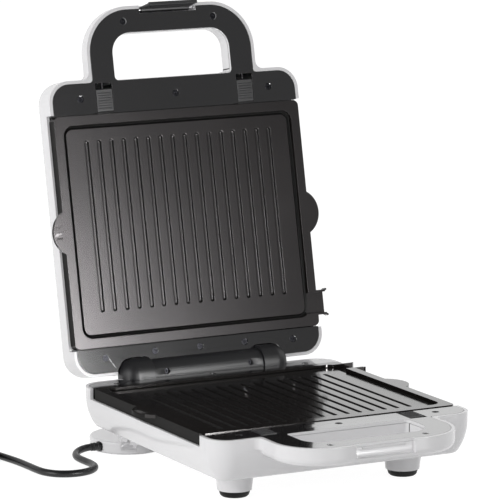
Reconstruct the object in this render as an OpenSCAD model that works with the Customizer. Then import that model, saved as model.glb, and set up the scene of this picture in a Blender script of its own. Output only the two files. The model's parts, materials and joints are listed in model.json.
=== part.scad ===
// Sandwich toaster with a hinged lid and two removable grill plates.
// Working coordinates: x to the right, y from the plates' front edge to the rear,
// z up from the plane where the two plates meet when the lid is shut.
// placed() puts the working coordinates on the floor, and opened() swings the
// lid's pieces about the hinge axis to the pose at rest, with the lid open.

/* [Grill plates] */
// Width of each grill plate
plate_w = 250; // [235:1:280]
// Depth of each grill plate, front to rear
plate_d = 210; // [195:1:235]
// Height of a plate's skirt
plate_h = 10; // [9:0.5:12]
// Gap between the two plates when the lid is shut
plate_gap = 0.6; // [0.4:0.1:1.5]
// Corner radius of a plate
plate_r = 5; // [3:0.5:8]
// Width of the raised rim round the cooking face
rim_w = 8.5; // [6:0.5:11]
// Depth of the cooking face below the rim
face_drop = 3; // [2:0.25:3.5]
// Thickness of the plate under the cooking face
face_t = 3.5; // [3:0.25:4]
// Thickness of the plate's skirt
skirt_t = 2.5; // [2:0.25:3]
// Number of grill grooves
groove_n = 16; // [10:1:17]
// Distance between the grooves
groove_pitch = 12.4; // [10:0.1:12.6]
// Width of a groove
groove_w = 4.2; // [3:0.2:5]
// Depth of a groove
groove_t = 1.6; // [1:0.1:2]
// Plate's front edge to the start of a groove
groove_start = 23; // [20:1:28]
// Length of a groove
groove_l = 155.5; // [120:1:158]
// Width of the drip channel round the cooking face
channel_w = 3.6; // [3:0.2:5]
// Depth of the drip channel
channel_t = 1.8; // [1:0.1:2.2]
// How far a finger tab stands out of a plate's side
tab_out = 10.8; // [8:0.2:12]
// Length of a finger tab along the plate's side
tab_l = 38; // [32:1:44]
// Thickness of a finger tab
tab_t = 3; // [2.5:0.25:4]
// Plate's front edge to the middle of the tabs
tab_y = 104.5; // [95:1:115]
// How far the drip spout stands out of the plate's right side
spout_out = 9; // [7:0.5:11]
// Width of the drip spout over its walls
spout_w = 23; // [20:0.5:26]
// Rear edge of the plate to the middle of the spout
spout_back = 21; // [20:0.5:24]

/* [Housings] */
// Thickness of the white housings' walls
wall = 3; // [2.5:0.1:3.5]
// Width of the housings' white outline outside the black frame
body_margin = 2; // [1.6:0.1:3]
// Front edge of the plates to the front of the housing
body_front = 31.8; // [28:0.2:36]
// Rear edge of the plates to the rear of the housing
body_rear = 26.3; // [25.5:0.1:27.5]
// Corner radius of the housings seen from above
body_r = 20; // [16:0.5:24]
// Height of the base housing below the meeting plane
base_h = 38; // [36:0.5:42]
// Height of the lid housing above the meeting plane
lid_h = 40; // [38:0.5:44]
// Radius of the base housing's lower edges
base_edge = 14; // [8:0.5:16]
// Radius of the lid housing's upper edges
lid_edge = 19; // [12:0.5:19]
// Height of the handles
handle_h = 17; // [16:0.5:20]
// Width of the handles
handle_w = 170.6; // [165:0.5:176]
// How far the handles stand out in front of the plates
handle_out = 96.3; // [92:0.5:102]
// Outer corner radius of the handles
handle_r = 43; // [38:0.5:45]
// Width of the finger opening in a handle
grip_w = 118; // [110:0.5:122]
// Front edge of the plates to the front edge of the finger opening
grip_front = 71.8; // [69:0.2:74]
// Front edge of the plates to the rear edge of the finger opening
grip_rear = 30; // [29.6:0.1:30.6]
// Front corner radius of the finger opening
grip_r = 18; // [12:0.5:20]

/* [Black frames] */
// Gap between the two frames when the lid is shut
frame_gap = 2; // [1.6:0.1:3]
// Thickness of a frame
frame_t = 2.5; // [2:0.1:3]
// Fitting gap between pieces
fit = 0.3; // [0.2:0.05:0.4]
// Width of a plate release latch
latch_w = 16; // [14:0.5:18]
// Length of a plate release latch
latch_l = 20; // [18:0.5:22]
// Travel of a plate release latch
latch_travel = 4; // [3:0.25:4.5]
// Middle of the appliance to the middle of a latch
latch_x = 71.8; // [70:0.2:73]

/* [Hinge] */
// Plates' rear edge to the hinge axis
hinge_back = 28.5; // [27.5:0.25:30]
// Radius of the lid's hinge barrel
barrel_r = 13.5; // [12:0.25:14]
// Length of the lid's hinge barrel
barrel_l = 111; // [104:1:116]
// Radius of the two hinge posts on the base
post_r = 16; // [15:0.25:16.5]
// Length of a hinge post along the axis
post_l = 22; // [18:0.5:24]
// Diameter of the hinge pins
pin_d = 10; // [8:0.5:11]
// How far the lid is open at its stop, in the pose at rest
open_angle = 102; // [96:1:104]

/* [Closing clip] */
// Width of the closing clip
clip_w = 49; // [44:0.5:52]
// Thickness of the closing clip
clip_t = 2.4; // [2:0.1:2.8]
// Closing clip's reach below the meeting plane when the lid is shut
clip_drop = 12.5; // [11:0.25:13]
// How far the closing clip stands out of its latched position at rest
clip_rest = 5; // [4.5:0.25:6]
// Free space at each end of the clip
clip_side = 4.3; // [3:0.1:6]

/* [Feet] */
// Height of the base housing's bottom above the floor
leg_h = 24; // [22:0.5:28]
// Distance between the front feet
foot_gauge = 166; // [150:1:176]
// Plates' front edge to the middle of the front feet
foot_y = 19; // [14:0.5:26]
// Diameter of a front foot where it meets the housing
foot_d = 35; // [30:0.5:38]
// Diameter of a front foot where it meets its rubber pad
foot_tip_d = 30; // [27:0.5:32]
// Height of a rubber pad
pad_h = 8; // [6:0.5:10]
// Diameter of a rubber pad at the floor
pad_d = 25; // [22:0.5:27]
// Distance between the rear feet
rear_gauge = 164; // [150:1:172]
// Diameter of a rear foot's round flange, which the cord is wound behind
flange_d = 69; // [60:1:74]
// Thickness of that flange
flange_h = 11.5; // [10:0.25:13]
// Diameter of the neck between flange and housing
neck_d = 38; // [32:1:44]

/* [Heaters and inner parts] */
// Diameter of the tubular heating elements
heater_d = 6.5; // [6:0.1:8]
// Distance between a heating element's two long runs
heater_span = 120; // [100:1:140]
// Length of a heating element's long runs
heater_l = 128; // [110:1:140]
// Bend radius of a heating element
heater_bend = 22; // [15:1:30]
// Thickness of the reflector trays' sheet
sheet_t = 0.8; // [0.6:0.1:1.2]
// Depth of the reflector trays below their flange
tray_h = 10; // [9:0.5:11]
// Diameter of the indicator lenses
lens_d = 8.8; // [7:0.2:11]

/* [Screws] */
// Diameter of a screw's thread
screw_d = 3; // [2.8:0.1:3.4]
// Diameter of a screw's head
screw_head_d = 5.8; // [5.4:0.1:6.4]
// Height of a screw's head
screw_head_h = 1.7; // [1.4:0.1:2]
// Length of a frame screw under its head
screw_l = 12; // [10:0.5:14]

/* [Mains cord] */
// Diameter of the mains cord
cord_d = 6.4; // [6.4:0.1:6.8]
// Diameter of the strain relief at the foot
relief_d = 8.6; // [8:0.1:9]
// Length of the strain relief outside and inside the foot
relief_l = 26; // [22:1:30]

/* [Hidden] */
$fn = 64;

eps = 0.01;
e2 = 2 * eps;
half_w = plate_w / 2;
rim_z = -plate_gap / 2;
face_z = rim_z - face_drop;
under_z = face_z - face_t;
skirt_z = rim_z - plate_h;
frame_z = -frame_gap / 2;
ledge_z = skirt_z - 0.1;
ledge_w = 12;
body_x = half_w + body_margin;
frame_x = body_x - wall - fit;
rear_y = plate_d + body_rear;
hinge_y = plate_d + hinge_back;
hinge_z = 0;
stand_h = base_h + leg_h;
handle_x = handle_w / 2;
panel_x = handle_x - wall - fit;
grip_x = grip_w / 2;
lip = 1.2;
barrel_clear = 0.5;
post_gap = 0.4;
post_x = barrel_l / 2 + post_gap;
notch_x = post_x + post_l + 1.2;
handle_edge = 6;
root_r = 3;
seat = 0.1;
clip_axis_y = 3.7 - handle_out;
clip_axis_z = 7.5;
clip_root_d = 5.4;
clip_pin_d = 2.8;
clip_bay = clip_w / 2 + clip_side;
bay_y = clip_axis_y + clip_root_d / 2 + 0.9;
clip_back = clip_axis_y - clip_root_d / 2 + clip_t;
tooth = 1.2;
pocket_y = clip_back + tooth + 0.3;
pocket_z = -clip_drop - 0.6;
ridge_z = -6;
lamp_gap = 3.2;
barrel_foot_z = 9.5;
plate_lip_z = rim_z - 5;
tongue_t = 1.4;
screw_seat = 2.2;
boss_h = 4.6;
boss_d = screw_head_d + 3.4;
post_d = 8;
frame_screws = [
    [-96, -14.5], [0, -14.5], [96, -14.5], [-46, -82.5], [46, -82.5],
    [-96, plate_d + 10], [0, plate_d + 8], [96, plate_d + 10]];
barrel_screw_x = barrel_l / 2 - 9.5;
lid_extra_screws = [[-barrel_screw_x, plate_d + 8], [barrel_screw_x, plate_d + 8]];
neck_y = plate_d - 6;
flange_y = plate_d + 18;
cord_z = cord_d / 2;
relief_exit = 218.5;
relief_z = -stand_h + 5.9;
inner_x = -rear_gauge / 2 - 11;
relief_in = -rear_gauge / 2 - 15;
relief_tip = relief_in - relief_l;

// The appliance's reach in front and behind sets the origin under its middle
lid_back = hinge_y + lid_edge - cos(open_angle) * (hinge_y + body_front - lid_edge)
    + sin(open_angle) * (lid_h - lid_edge);
front_reach = handle_out;
shift_y = (front_reach - lid_back) / 2;

// ---------- places ----------

module placed() {
    translate([0, shift_y, stand_h]) children();
}

module opened() {
    placed() translate([0, hinge_y, hinge_z]) rotate([-open_angle, 0, 0])
        translate([0, -hinge_y, -hinge_z]) children();
}

module flipped() {
    mirror([0, 0, 1]) children();
}

// ---------- shared shapes ----------

module block(x0, y0, z0, x1, y1, z1) {
    translate([x0, y0, z0]) cube([x1 - x0, y1 - y0, z1 - z0]);
}

// A rectangle with round corners
module rounded(x0, y0, x1, y1, r) {
    translate([x0 + r, y0]) square([x1 - x0 - 2 * r, y1 - y0]);
    translate([x0, y0 + r]) square([x1 - x0, y1 - y0 - 2 * r]);
    for (x = [x0 + r, x1 - r], y = [y0 + r, y1 - r]) translate([x, y]) circle(r);
}

module slab(x0, y0, z0, x1, y1, z1, r) {
    translate([0, 0, z0]) linear_extrude(z1 - z0) rounded(x0, y0, x1, y1, r);
}

module rod(x, y, z0, z1, d) {
    translate([x, y, z0]) cylinder(d = d, h = z1 - z0);
}

module axle(x0, x1, y, z, d) {
    translate([x0, y, z]) rotate([0, 90, 0]) cylinder(d = d, h = x1 - x0);
}

// Half of a rounded slab's section: a quarter round between side and underside
module edge_section(reach, h, e) {
    square([reach - e, h]);
    translate([0, e]) square([reach, h - e]);
    intersection() {
        translate([reach - e, e]) circle(e);
        translate([reach - e, 0]) square(e);
    }
}

// A slab with round corners seen from above and a quarter round along its underside
module soft_box(x0, y0, z0, x1, y1, z1, r, e) {
    for (i = [0:3]) translate([i == 0 || i == 3 ? x1 - r : x0 + r, i < 2 ? y1 - r : y0 + r, z0])
        rotate([0, 0, 90 * i]) rotate_extrude(angle = 90) edge_section(r, z1 - z0, e);
    mx = (x0 + x1) / 2;
    my = (y0 + y1) / 2;
    translate([x0 + r, my, z0]) rotate([90, 0, 90]) linear_extrude(x1 - x0 - 2 * r)
        for (m = [0, 1]) mirror([m, 0]) edge_section(y1 - my, z1 - z0, e);
    translate([mx, y1 - r, z0]) rotate([90, 0, 0]) linear_extrude(y1 - y0 - 2 * r)
        for (m = [0, 1]) mirror([m, 0]) edge_section(x1 - mx, z1 - z0, e);
}

// The housing's body, drawn in by off
module tub(off, depth, edge) {
    soft_box(off - body_x, off - body_front, off - depth, body_x - off, rear_y - off, frame_z,
             body_r - off, edge - off);
}

// The handle's outer form, drawn in by off; its rear end lies inside the body
module handle_form(off) {
    soft_box(off - handle_x, off - handle_out, off - handle_h, handle_x - off, 14 - off, frame_z,
             handle_r - off, handle_edge - off);
}

// The handle seen from above, with straight sides that run back into the body
module handle_outline(off) {
    x = handle_x - off;
    front = off - handle_out;
    r = handle_r - off;
    translate([-x, front + r]) square([2 * x, -8 - front - r]);
    translate([r - x, front]) square([2 * x - 2 * r, r + 1]);
    for (s = [-1, 1]) translate([s * (x - r), front + r]) circle(r);
}

// The finger opening seen from above, drawn in by inset
module grip_shape(inset) {
    rounded(inset - grip_x, inset - grip_front, grip_x - inset, -grip_rear - inset, grip_r - inset);
    rounded(inset - grip_x, -grip_rear - 26, grip_x - inset, -grip_rear - inset, 4);
}

module grip_hole(z0, z1) {
    translate([0, 0, z0]) linear_extrude(z1 - z0) grip_shape(0);
}

// Concave corner where the handle leaves the body
module root_fillet(x, y, r, z0, z1) {
    for (s = [-1, 1]) translate([s * x, -y, z0]) linear_extrude(z1 - z0)
        difference() {
            translate([s > 0 ? 0 : -r, -r]) square(r);
            translate([s * r, -r]) circle(r);
        }
}

// ---------- grill plates ----------

// Side tab to lift the hot plate by
module plate_tab(s) {
    tab_r = (tab_l * tab_l / 4 + tab_out * tab_out) / (2 * tab_out);
    translate([s * (half_w + tab_out - tab_r), tab_y, rim_z - tab_t]) cylinder(r = tab_r, h = tab_t);
}

// Generic grip ribs on the left tab
module tab_ribs() {
    for (i = [-1:1])
        block(-half_w - tab_out + 2.6, tab_y + i * 5 - 0.8, rim_z - eps,
              -half_w - 2.2, tab_y + i * 5 + 0.8, rim_z + 0.2);
}

// Walls and floor of the drip spout on the right side
module spout_body(y0, y1) {
    difference() {
        union() {
            block(half_w - 6, y0, channel_floor() - 1.6, half_w + spout_out, y1, rim_z);
            for (s = [-1, 1]) translate([half_w + spout_out - 1.6, s > 0 ? y1 - 1.6 : y0 + 1.6, 0])
                rotate([0, 0, s * 35]) translate([0, -0.8, channel_floor() - 1.6])
                    cube([4, 1.6, rim_z - channel_floor() + 1.6]);
        }
        block(half_w - 7, y0 + 2, channel_floor(), half_w + spout_out + 6, y1 - 2, rim_z + 1);
    }
}

function channel_floor() = face_z - channel_t;

module plate_form() {
    spout_mid = plate_d - spout_back;
    y0 = spout_mid - spout_w / 2;
    y1 = spout_mid + spout_w / 2;
    difference() {
        union() {
            difference() {
                union() {
                    slab(-half_w, 0, skirt_z, half_w, plate_d, rim_z, plate_r);
                    for (s = [-1, 1]) plate_tab(s);
                }
                // cooking face, sunk inside the rim
                slab(rim_w - half_w, rim_w, face_z, half_w - rim_w, plate_d - rim_w, rim_z + 1, 10);
                // hollow underside
                slab(skirt_t - half_w, skirt_t, skirt_z - 1, half_w - skirt_t, plate_d - skirt_t,
                     under_z, plate_r);
                // drip channel at the foot of the rim
                translate([0, 0, channel_floor()]) linear_extrude(channel_t + 1) difference() {
                    rounded(rim_w - half_w, rim_w, half_w - rim_w, plate_d - rim_w, 10);
                    rounded(rim_w + channel_w - half_w, rim_w + channel_w,
                            half_w - rim_w - channel_w, plate_d - rim_w - channel_w, 8);
                }
                // grill grooves with round ends
                for (i = [0:groove_n - 1]) let (x = (i - (groove_n - 1) / 2) * groove_pitch)
                    slab(x - groove_w / 2, groove_start, face_z - groove_t, x + groove_w / 2,
                         groove_start + groove_l, face_z + 1, groove_w / 2 - eps);
            }
            spout_body(y0, y1);
            tab_ribs();
        }
        // the chute from the cooking face into the spout
        block(half_w - rim_w - channel_w, y0 + 2, channel_floor(), half_w + 1, y1 - 2, rim_z + 1);
        // slots that the release latches' tongues enter
        for (s = [-1, 1])
            block(s * latch_x - latch_w / 2, -1, plate_lip_z - tongue_t - 0.3,
                  s * latch_x + latch_w / 2, skirt_t + 1, plate_lip_z + 0.3);
    }
}

module lower_plate() {
    color("#1b1715") placed() plate_form();
}

module upper_plate() {
    color("#1b1715") opened() flipped() plate_form();
}

// ---------- heating elements and reflector trays ----------

heater_z = under_z - fit - heater_d / 2;
heater_mid = plate_d / 2 + 4;

module heater_elbow(x, y, from) {
    translate([x, y, heater_z]) rotate([0, 0, from]) rotate_extrude(angle = 90)
        translate([heater_bend, 0]) circle(d = heater_d);
}

module heater_run(x0, y0, x1, y1) {
    l = norm([x1 - x0, y1 - y0]);
    translate([x0, y0, heater_z]) rotate([0, 0, atan2(y1 - y0, x1 - x0)])
        rotate([0, 90, 0]) cylinder(d = heater_d, h = l);
}

// A rounded loop, open at the rear, where its cold ends come out
module heater_form() {
    x = heater_span / 2;
    y0 = heater_mid - heater_l / 2;
    y1 = heater_mid + heater_l / 2;
    tail_x = 24;
    for (s = [-1, 1]) {
        heater_run(s * x, y0 + heater_bend - eps, s * x, y1 - heater_bend + eps);
        heater_elbow(s * (x - heater_bend), y0 + heater_bend, s > 0 ? 270 : 180);
        heater_elbow(s * (x - heater_bend), y1 - heater_bend, s > 0 ? 0 : 90);
        heater_run(s * (x - heater_bend + eps), y1, s * tail_x, y1);
        translate([s * tail_x, y1, heater_z]) rotate([0, s * -90, 0]) cylinder(d = heater_d - 2.2, h = 12);
    }
    heater_run(heater_bend - x - eps, y0, x - heater_bend + eps, y0);
}

// Straps that stand on the tray and carry the element in saddles
module heater_clips_form() {
    for (s = [-1, 1], y = [heater_mid - 30, heater_mid + 30]) difference() {
        block(s * heater_span / 2 - 6, y - 2, tray_floor() + sheet_t, s * heater_span / 2 + 6, y + 2,
              heater_z + 1);
        translate([s * heater_span / 2, y - 5, heater_z]) rotate([-90, 0, 0])
            cylinder(d = heater_d + 0.4, h = 10);
    }
}

function tray_floor() = ledge_z - tray_h;

// A pressed tray that hangs by its flange on the frame's ledge
module tray_form() {
    x = half_w - ledge_w - 1;
    y0 = ledge_w + 1;
    y1 = plate_d - ledge_w - 1;
    top = ledge_z + fit;
    difference() {
        union() {
            slab(-x, y0, tray_floor(), x, y1, top + sheet_t - eps, 10);
            slab(-x - 4, y0 - 4, top, x + 4, y1 + 4, top + sheet_t, 12);
        }
        slab(sheet_t - x, y0 + sheet_t, tray_floor() + sheet_t, x - sheet_t, y1 - sheet_t,
             top + sheet_t + 1, 10 - sheet_t);
        // window for the element's cold ends
        block(-34, heater_mid + heater_l / 2 + 10, tray_floor() - 1, 34, heater_mid + heater_l / 2 + 16,
              tray_floor() + sheet_t + 1);
    }
}

module lower_heater() {
    color("#6c655e") placed() heater_form();
}

module upper_heater() {
    color("#6c655e") opened() flipped() heater_form();
}

module lower_heater_clips() {
    color("silver") placed() heater_clips_form();
}

module upper_heater_clips() {
    color("silver") opened() flipped() heater_clips_form();
}

module lower_reflector() {
    color("silver") placed() tray_form();
}

module upper_reflector() {
    color("silver") opened() flipped() tray_form();
}

// ---------- black frames ----------

// Outline of the frame and its handle panel, seen from above
module frame_shape() {
    y0 = -body_front + wall + fit;
    rounded(-frame_x, y0, frame_x, rear_y - wall - fit, body_r - wall);
    handle_outline(wall + fit);
    root_fillet_2d(panel_x - 0.1, -y0 - 0.1, root_r);
}

module root_fillet_2d(x, y, r) {
    for (s = [-1, 1]) translate([s * x, -y]) difference() {
        translate([s > 0 ? 0 : -r, -r]) square(r);
        translate([s * r, -r]) circle(r);
    }
}

// A frame without its hinge: panel, wall down to the plate's seat, and the seat's ledge
module frame_form(screws) {
    inner = fit + 0.5;
    difference() {
        union() {
            // top panel, open over the plate
            translate([0, 0, frame_z - frame_t]) linear_extrude(frame_t) difference() {
                frame_shape();
                translate([-frame_x - 1, -inner]) square([2 * frame_x + 2, plate_d + 2 * inner]);
            }
            // walls in front of the plate and behind it
            block(-frame_x, -inner - 2, ledge_z - frame_t, frame_x, -inner, frame_z - eps);
            block(-frame_x, plate_d + inner, ledge_z - frame_t, frame_x, plate_d + inner + 2, frame_z - eps);
            // ledge that carries the plate and the tray
            translate([0, 0, ledge_z - frame_t]) linear_extrude(frame_t) difference() {
                translate([-frame_x, -inner - 2]) square([2 * frame_x, plate_d + 2 * inner + 4]);
                translate([ledge_w - half_w, ledge_w]) square([plate_w - 2 * ledge_w, plate_d - 2 * ledge_w]);
            }
            for (p = screws) rod(p[0], p[1], frame_z - boss_h, frame_z - eps, boss_d);
        }
        grip_cut();
        for (p = screws) {
            rod(p[0], p[1], frame_z - screw_seat, frame_z + 1, screw_head_d + 0.6);
            rod(p[0], p[1], frame_z - boss_h - 1, frame_z, screw_d + 0.4);
        }
        for (s = [-1, 1]) latch_pocket(s);
    }
}

// The finger opening through the black panel, a little wider than the white one
module grip_cut() {
    translate([0, 0, frame_z - frame_t - 1]) linear_extrude(frame_t + 2) grip_shape(-lip / 2);
}

// Slot that a release latch slides in, and the window for its tongue
module latch_pocket(s) {
    block(s * latch_x - latch_w / 2 - fit, -latch_l - latch_travel - 4, frame_z - frame_t - 1,
          s * latch_x + latch_w / 2 + fit, -2.1, frame_z + 1);
    block(s * latch_x - latch_w / 2 + 1.6, -4, plate_lip_z - tongue_t - 0.3,
          s * latch_x + latch_w / 2 - 1.6, 0.5, plate_lip_z + 0.3);
}

// A hinge post along the axis, domed at its outer end, on a web down to the ledge
module hinge_post(s) {
    dome = 6;
    translate([s * post_x, hinge_y, hinge_z]) rotate([0, s * 90, 0]) rotate_extrude() {
        square([post_r, post_l - dome]);
        square([post_r - dome, post_l]);
        translate([post_r - dome, post_l - dome]) circle(dome);
    }
    x0 = s > 0 ? post_x : -post_x - post_l + 2;
    block(x0, plate_d + 2.6, ledge_z - frame_t, x0 + post_l - 2, hinge_y + 4, -6);
}

module base_frame() {
    color("#232427") placed() difference() {
        union() {
            difference() {
                frame_form(frame_screws);
                // trough for the barrel and the posts
                axle(-notch_x, notch_x, hinge_y, hinge_z, 2 * (barrel_r + barrel_clear));
            }
            for (s = [-1, 1]) hinge_post(s);
        }
        // bearings for the bush and the pin
        axle(-bearing_end - 9, 1 - post_x, hinge_y, hinge_z, pin_d + 2 * bearing_gap);
        axle(post_x - 1, bearing_end + 6.5, hinge_y, hinge_z, pin_d + 2 * bearing_gap);
        // way for the lead up into the bush
        lead(base_lead_path, 6.2);
        // front notch behind the clip's pocket
        block(-clip_bay, -handle_out, frame_z - frame_t - 1, clip_bay, pocket_y, frame_z + 1);
    }
}

module lid_frame() {
    color("#232427") opened() difference() {
        flipped() frame_form(concat(frame_screws, lid_extra_screws));
        // seat for the barrel
        axle(-barrel_l / 2 - post_gap, barrel_l / 2 + post_gap, hinge_y, hinge_z,
             2 * barrel_r + 0.2);
        // clearance round the base's hinge posts
        for (s = [-1, 1]) axle(s > 0 ? post_x - post_gap : -notch_x, s > 0 ? notch_x : post_gap - post_x,
                               hinge_y, hinge_z, 2 * (post_r + 0.8));
        // way for the lead out of the barrel
        lead([lid_lead_path[1], lid_lead_path[2], lid_lead_path[3]], 5.6);
        // bay that the closing clip swings in
        block(-clip_bay, -handle_out, 0, clip_bay, bay_y, frame_t + 2);
    }
}

// ---------- white housings ----------

// Hollow handle, open towards its black panel
module handle_channel() {
    difference() {
        handle_form(wall);
        translate([0, 0, -handle_h - 1]) linear_extrude(handle_h + 1) grip_shape(-wall);
        block(-handle_x, -body_front + 1, -handle_h - 1, handle_x, 20, 0);
    }
}

// A housing, open towards its frame: body, handle, screw posts and plate cut-outs
module housing(depth, edge, screws) {
    difference() {
        union() {
            tub(0, depth, edge);
            handle_form(0);
            root_fillet(handle_x, body_front, 7, -handle_h + handle_edge, frame_z);
        }
        difference() {
            tub(wall, depth, edge);
            // wall behind the finger opening
            block(-grip_x - wall, -body_front, -depth, grip_x + wall, wall - grip_rear, 0);
        }
        handle_channel();
        // room for the black panel, up to the edge of the finger opening
        translate([0, 0, frame_z - frame_t - 0.2]) linear_extrude(frame_t + 2) intersection() {
            handle_outline(wall);
            translate([-handle_x, -handle_out]) square([2 * handle_x, handle_out - 26]);
        }
        translate([0, 0, frame_z - frame_t - 0.4]) linear_extrude(frame_t + 2)
            root_fillet_2d(handle_x - wall - 0.1, body_front - wall - 0.1, root_r + 0.6);
        grip_hole(-depth - 9, 1);
        // sides cut down to the plates' seat
        block(-body_x - 1, -1.4, ledge_z - 0.2, body_x + 1, plate_d + 1.4, 1);
    }
    for (p = screws) if (p[1] > -40) difference() {
        rod(p[0], p[1], wall - depth, frame_z - boss_h - 0.1, post_d);
        rod(p[0], p[1], frame_z - boss_h - screw_l, 0, screw_d + 0.04);
    }
    for (p = screws) if (p[1] < -40) difference() {
        rod(p[0], p[1], wall - handle_h - 0.5, frame_z - boss_h - 0.1, post_d);
        rod(p[0], p[1], wall - handle_h - 1, 0, screw_d + 0.04);
    }
}

module base_shell() {
    color("white") placed() difference() {
        union() {
            difference() {
                housing(base_h, base_edge, frame_screws);
                // rear wall lowered for the hinge barrel and the posts
                block(-notch_x, plate_d + 12, ledge_z - frame_t - 0.4, notch_x, rear_y + 1, 1);
                axle(-notch_x, notch_x, hinge_y, hinge_z, 2 * (post_r + 0.8));
            }
            // walls round the clip's pocket
            block(-clip_bay - 1.6, -handle_out + 2, 1 - handle_h, clip_bay + 1.6, pocket_y + 2, frame_z - frame_t - 0.1);
            for (s = [-1, 1]) rod(s * rear_gauge / 2, neck_y, -base_h + 0.5, -base_h + 12, 9);
        }
        // pocket that takes the closing clip, over a ridge that its tooth hooks under
        difference() {
            block(-clip_bay, -handle_out - 1, pocket_z, clip_bay, pocket_y, 1);
            block(-clip_w / 2 + 4, pocket_y - 1.1, ridge_z, clip_w / 2 - 4, pocket_y + 1, ridge_z + 1.8);
        }
        for (s = [-1, 1]) rod(s * rear_gauge / 2, neck_y, -base_h - 1, -base_h + 11, screw_d + 0.04);
        // holes that the front feet's spigots snap into
        for (s = [-1, 1]) rod(s * foot_gauge / 2, foot_y, -base_h - 1, -base_h + wall + 1, spigot_d + 0.1);
        // way in for the mains cord above the left foot
        rod(inner_x, neck_y + 5, -base_h - 1, -base_h + wall + 1, cord_d + 0.6);
    }
}

module lid_shell() {
    color("white") opened() flipped() difference() {
        union() {
            difference() {
                housing(lid_h, lid_edge, concat(frame_screws, lid_extra_screws));
                axle(-notch_x, notch_x, hinge_y, hinge_z, 2 * (post_r + 0.8));
            }
            // shoulders that clamp the barrel's foot, and a post for the lamp board
            for (x = [-barrel_screw_x, 0, barrel_screw_x]) difference() {
                rod(x, plate_d + 8, wall - lid_h, -barrel_foot_z - 0.1, 13);
                rod(x, plate_d + 8, -20, 0, screw_d + 0.04);
                block(x - 8, plate_d, -lid_h, x + 8, plate_d + 3.2, 0);
            }
            rod(0, lens_y, -lid_h + 1, lamp_gap - lid_h + wall, 6);
            // cheeks that hold the clip's pin
            for (s = [-1, 1]) block(s * (clip_bay + 2) - 2, -handle_out + 1.5, 1 - handle_h,
                                    s * (clip_bay + 2) + 2, bay_y + 2, frame_z - frame_t - 0.1);
            block(-clip_bay - 4, bay_y, 1 - handle_h, clip_bay + 4, bay_y + 2, frame_z - frame_t - 0.1);
        }
        // bay for the closing clip
        block(-clip_bay, -handle_out - 1, -clip_axis_z - clip_root_d / 2 - 1.2, clip_bay, bay_y, 1);
        axle(-clip_bay - 3.4, clip_bay + 3.4, clip_axis_y, -clip_axis_z, clip_pin_d);
        // holes for the indicator lenses
        for (s = [-1, 1]) rod(s * lens_x, lens_y, -lid_h - 1, -lid_h + wall + 1, lens_d + 0.2);
    }
}

// ---------- release latches ----------

// A sliding button with seven grip ribs, and a tongue that enters the plate's skirt
module latch_form() {
    top = frame_z - 0.2;
    difference() {
        union() {
            block(-latch_w / 2, -latch_l - 2.4, frame_z - frame_t - 0.2, latch_w / 2, -2.4, top);
            // shoulders under the panel keep the button in its slot
            block(-latch_w / 2 + 1, -latch_l, -6.4, latch_w / 2 - 1, -6, frame_z - frame_t);
            block(-latch_w / 2 - 1.5, -latch_l, -6.4, latch_w / 2 + 1.5, -6, frame_z - frame_t - 0.2);
            // tongue
            block(-latch_w / 2 + 2, -7, plate_lip_z - tongue_t, latch_w / 2 - 2, 1.4, plate_lip_z);
            for (i = [0:6]) block(-latch_w / 2 + 1.5, -latch_l + 1 + i * 2.3, top - eps,
                                  latch_w / 2 - 1.5, -latch_l + 1.9 + i * 2.3, top + 0.45);
        }
        // blind hole for the return spring
        translate([0, -latch_l - 1, plate_lip_z + 0.3]) rotate([-90, 0, 0]) cylinder(d = 2.2, h = 8);
    }
}

module base_latch_left() {
    color("#232427") placed() translate([-latch_x, 0, 0]) latch_form();
}

module base_latch_right() {
    color("#232427") placed() translate([latch_x, 0, 0]) latch_form();
}

module lid_latch_left() {
    color("#232427") opened() flipped() translate([-latch_x, 0, 0]) latch_form();
}

module lid_latch_right() {
    color("#232427") opened() flipped() translate([latch_x, 0, 0]) latch_form();
}

// Return springs in the latches' blind holes, kept as plain sleeves
module latch_springs_form() {
    for (s = [-1, 1]) translate([s * latch_x, -body_front + wall + 0.3, plate_lip_z + 0.3])
        rotate([-90, 0, 0]) difference() {
            cylinder(d = 2, h = 10.5);
            translate([0, 0, -1]) cylinder(d = 1.2, h = 13);
        }
}

module base_latch_springs() {
    color("silver") placed() latch_springs_form();
}

module lid_latch_springs() {
    color("silver") opened() flipped() latch_springs_form();
}

// ---------- screws ----------

// A pan head with a cross recess on a plain shank
module screw(x, y, seat, l) {
    difference() {
        union() {
            rod(x, y, seat, seat + screw_head_h, screw_head_d);
            rod(x, y, seat - l, seat + eps, screw_d);
        }
        for (a = [0, 90]) translate([x, y, seat + screw_head_h - 0.9]) rotate([0, 0, a])
            translate([-1.6, -0.35, 0]) cube([3.2, 0.7, 2]);
    }
}

module frame_screws_form(screws) {
    for (p = screws) screw(p[0], p[1], frame_z - screw_seat, p[1] < -40 ? 10 : screw_l);
}

module base_frame_screws() {
    color("#303236") placed() frame_screws_form(frame_screws);
}

module lid_frame_screws() {
    color("#303236") opened() flipped() frame_screws_form(concat(frame_screws, lid_extra_screws));
}

// ---------- feet ----------

spigot_d = 18;

// Cones under the housing, with a spigot into its floor and a blind hole for the pad's stem
module front_feet() {
    tip = pad_h - stand_h;
    color("white") placed() for (s = [-1, 1]) difference() {
        union() {
            translate([s * foot_gauge / 2, foot_y, tip])
                cylinder(d1 = foot_tip_d, d2 = foot_d, h = -base_h - seat / 2 - tip);
            rod(s * foot_gauge / 2, foot_y, tip + 1, -base_h + wall, spigot_d);
        }
        rod(s * foot_gauge / 2, foot_y, tip - 1, tip + 9, 12);
    }
}

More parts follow.
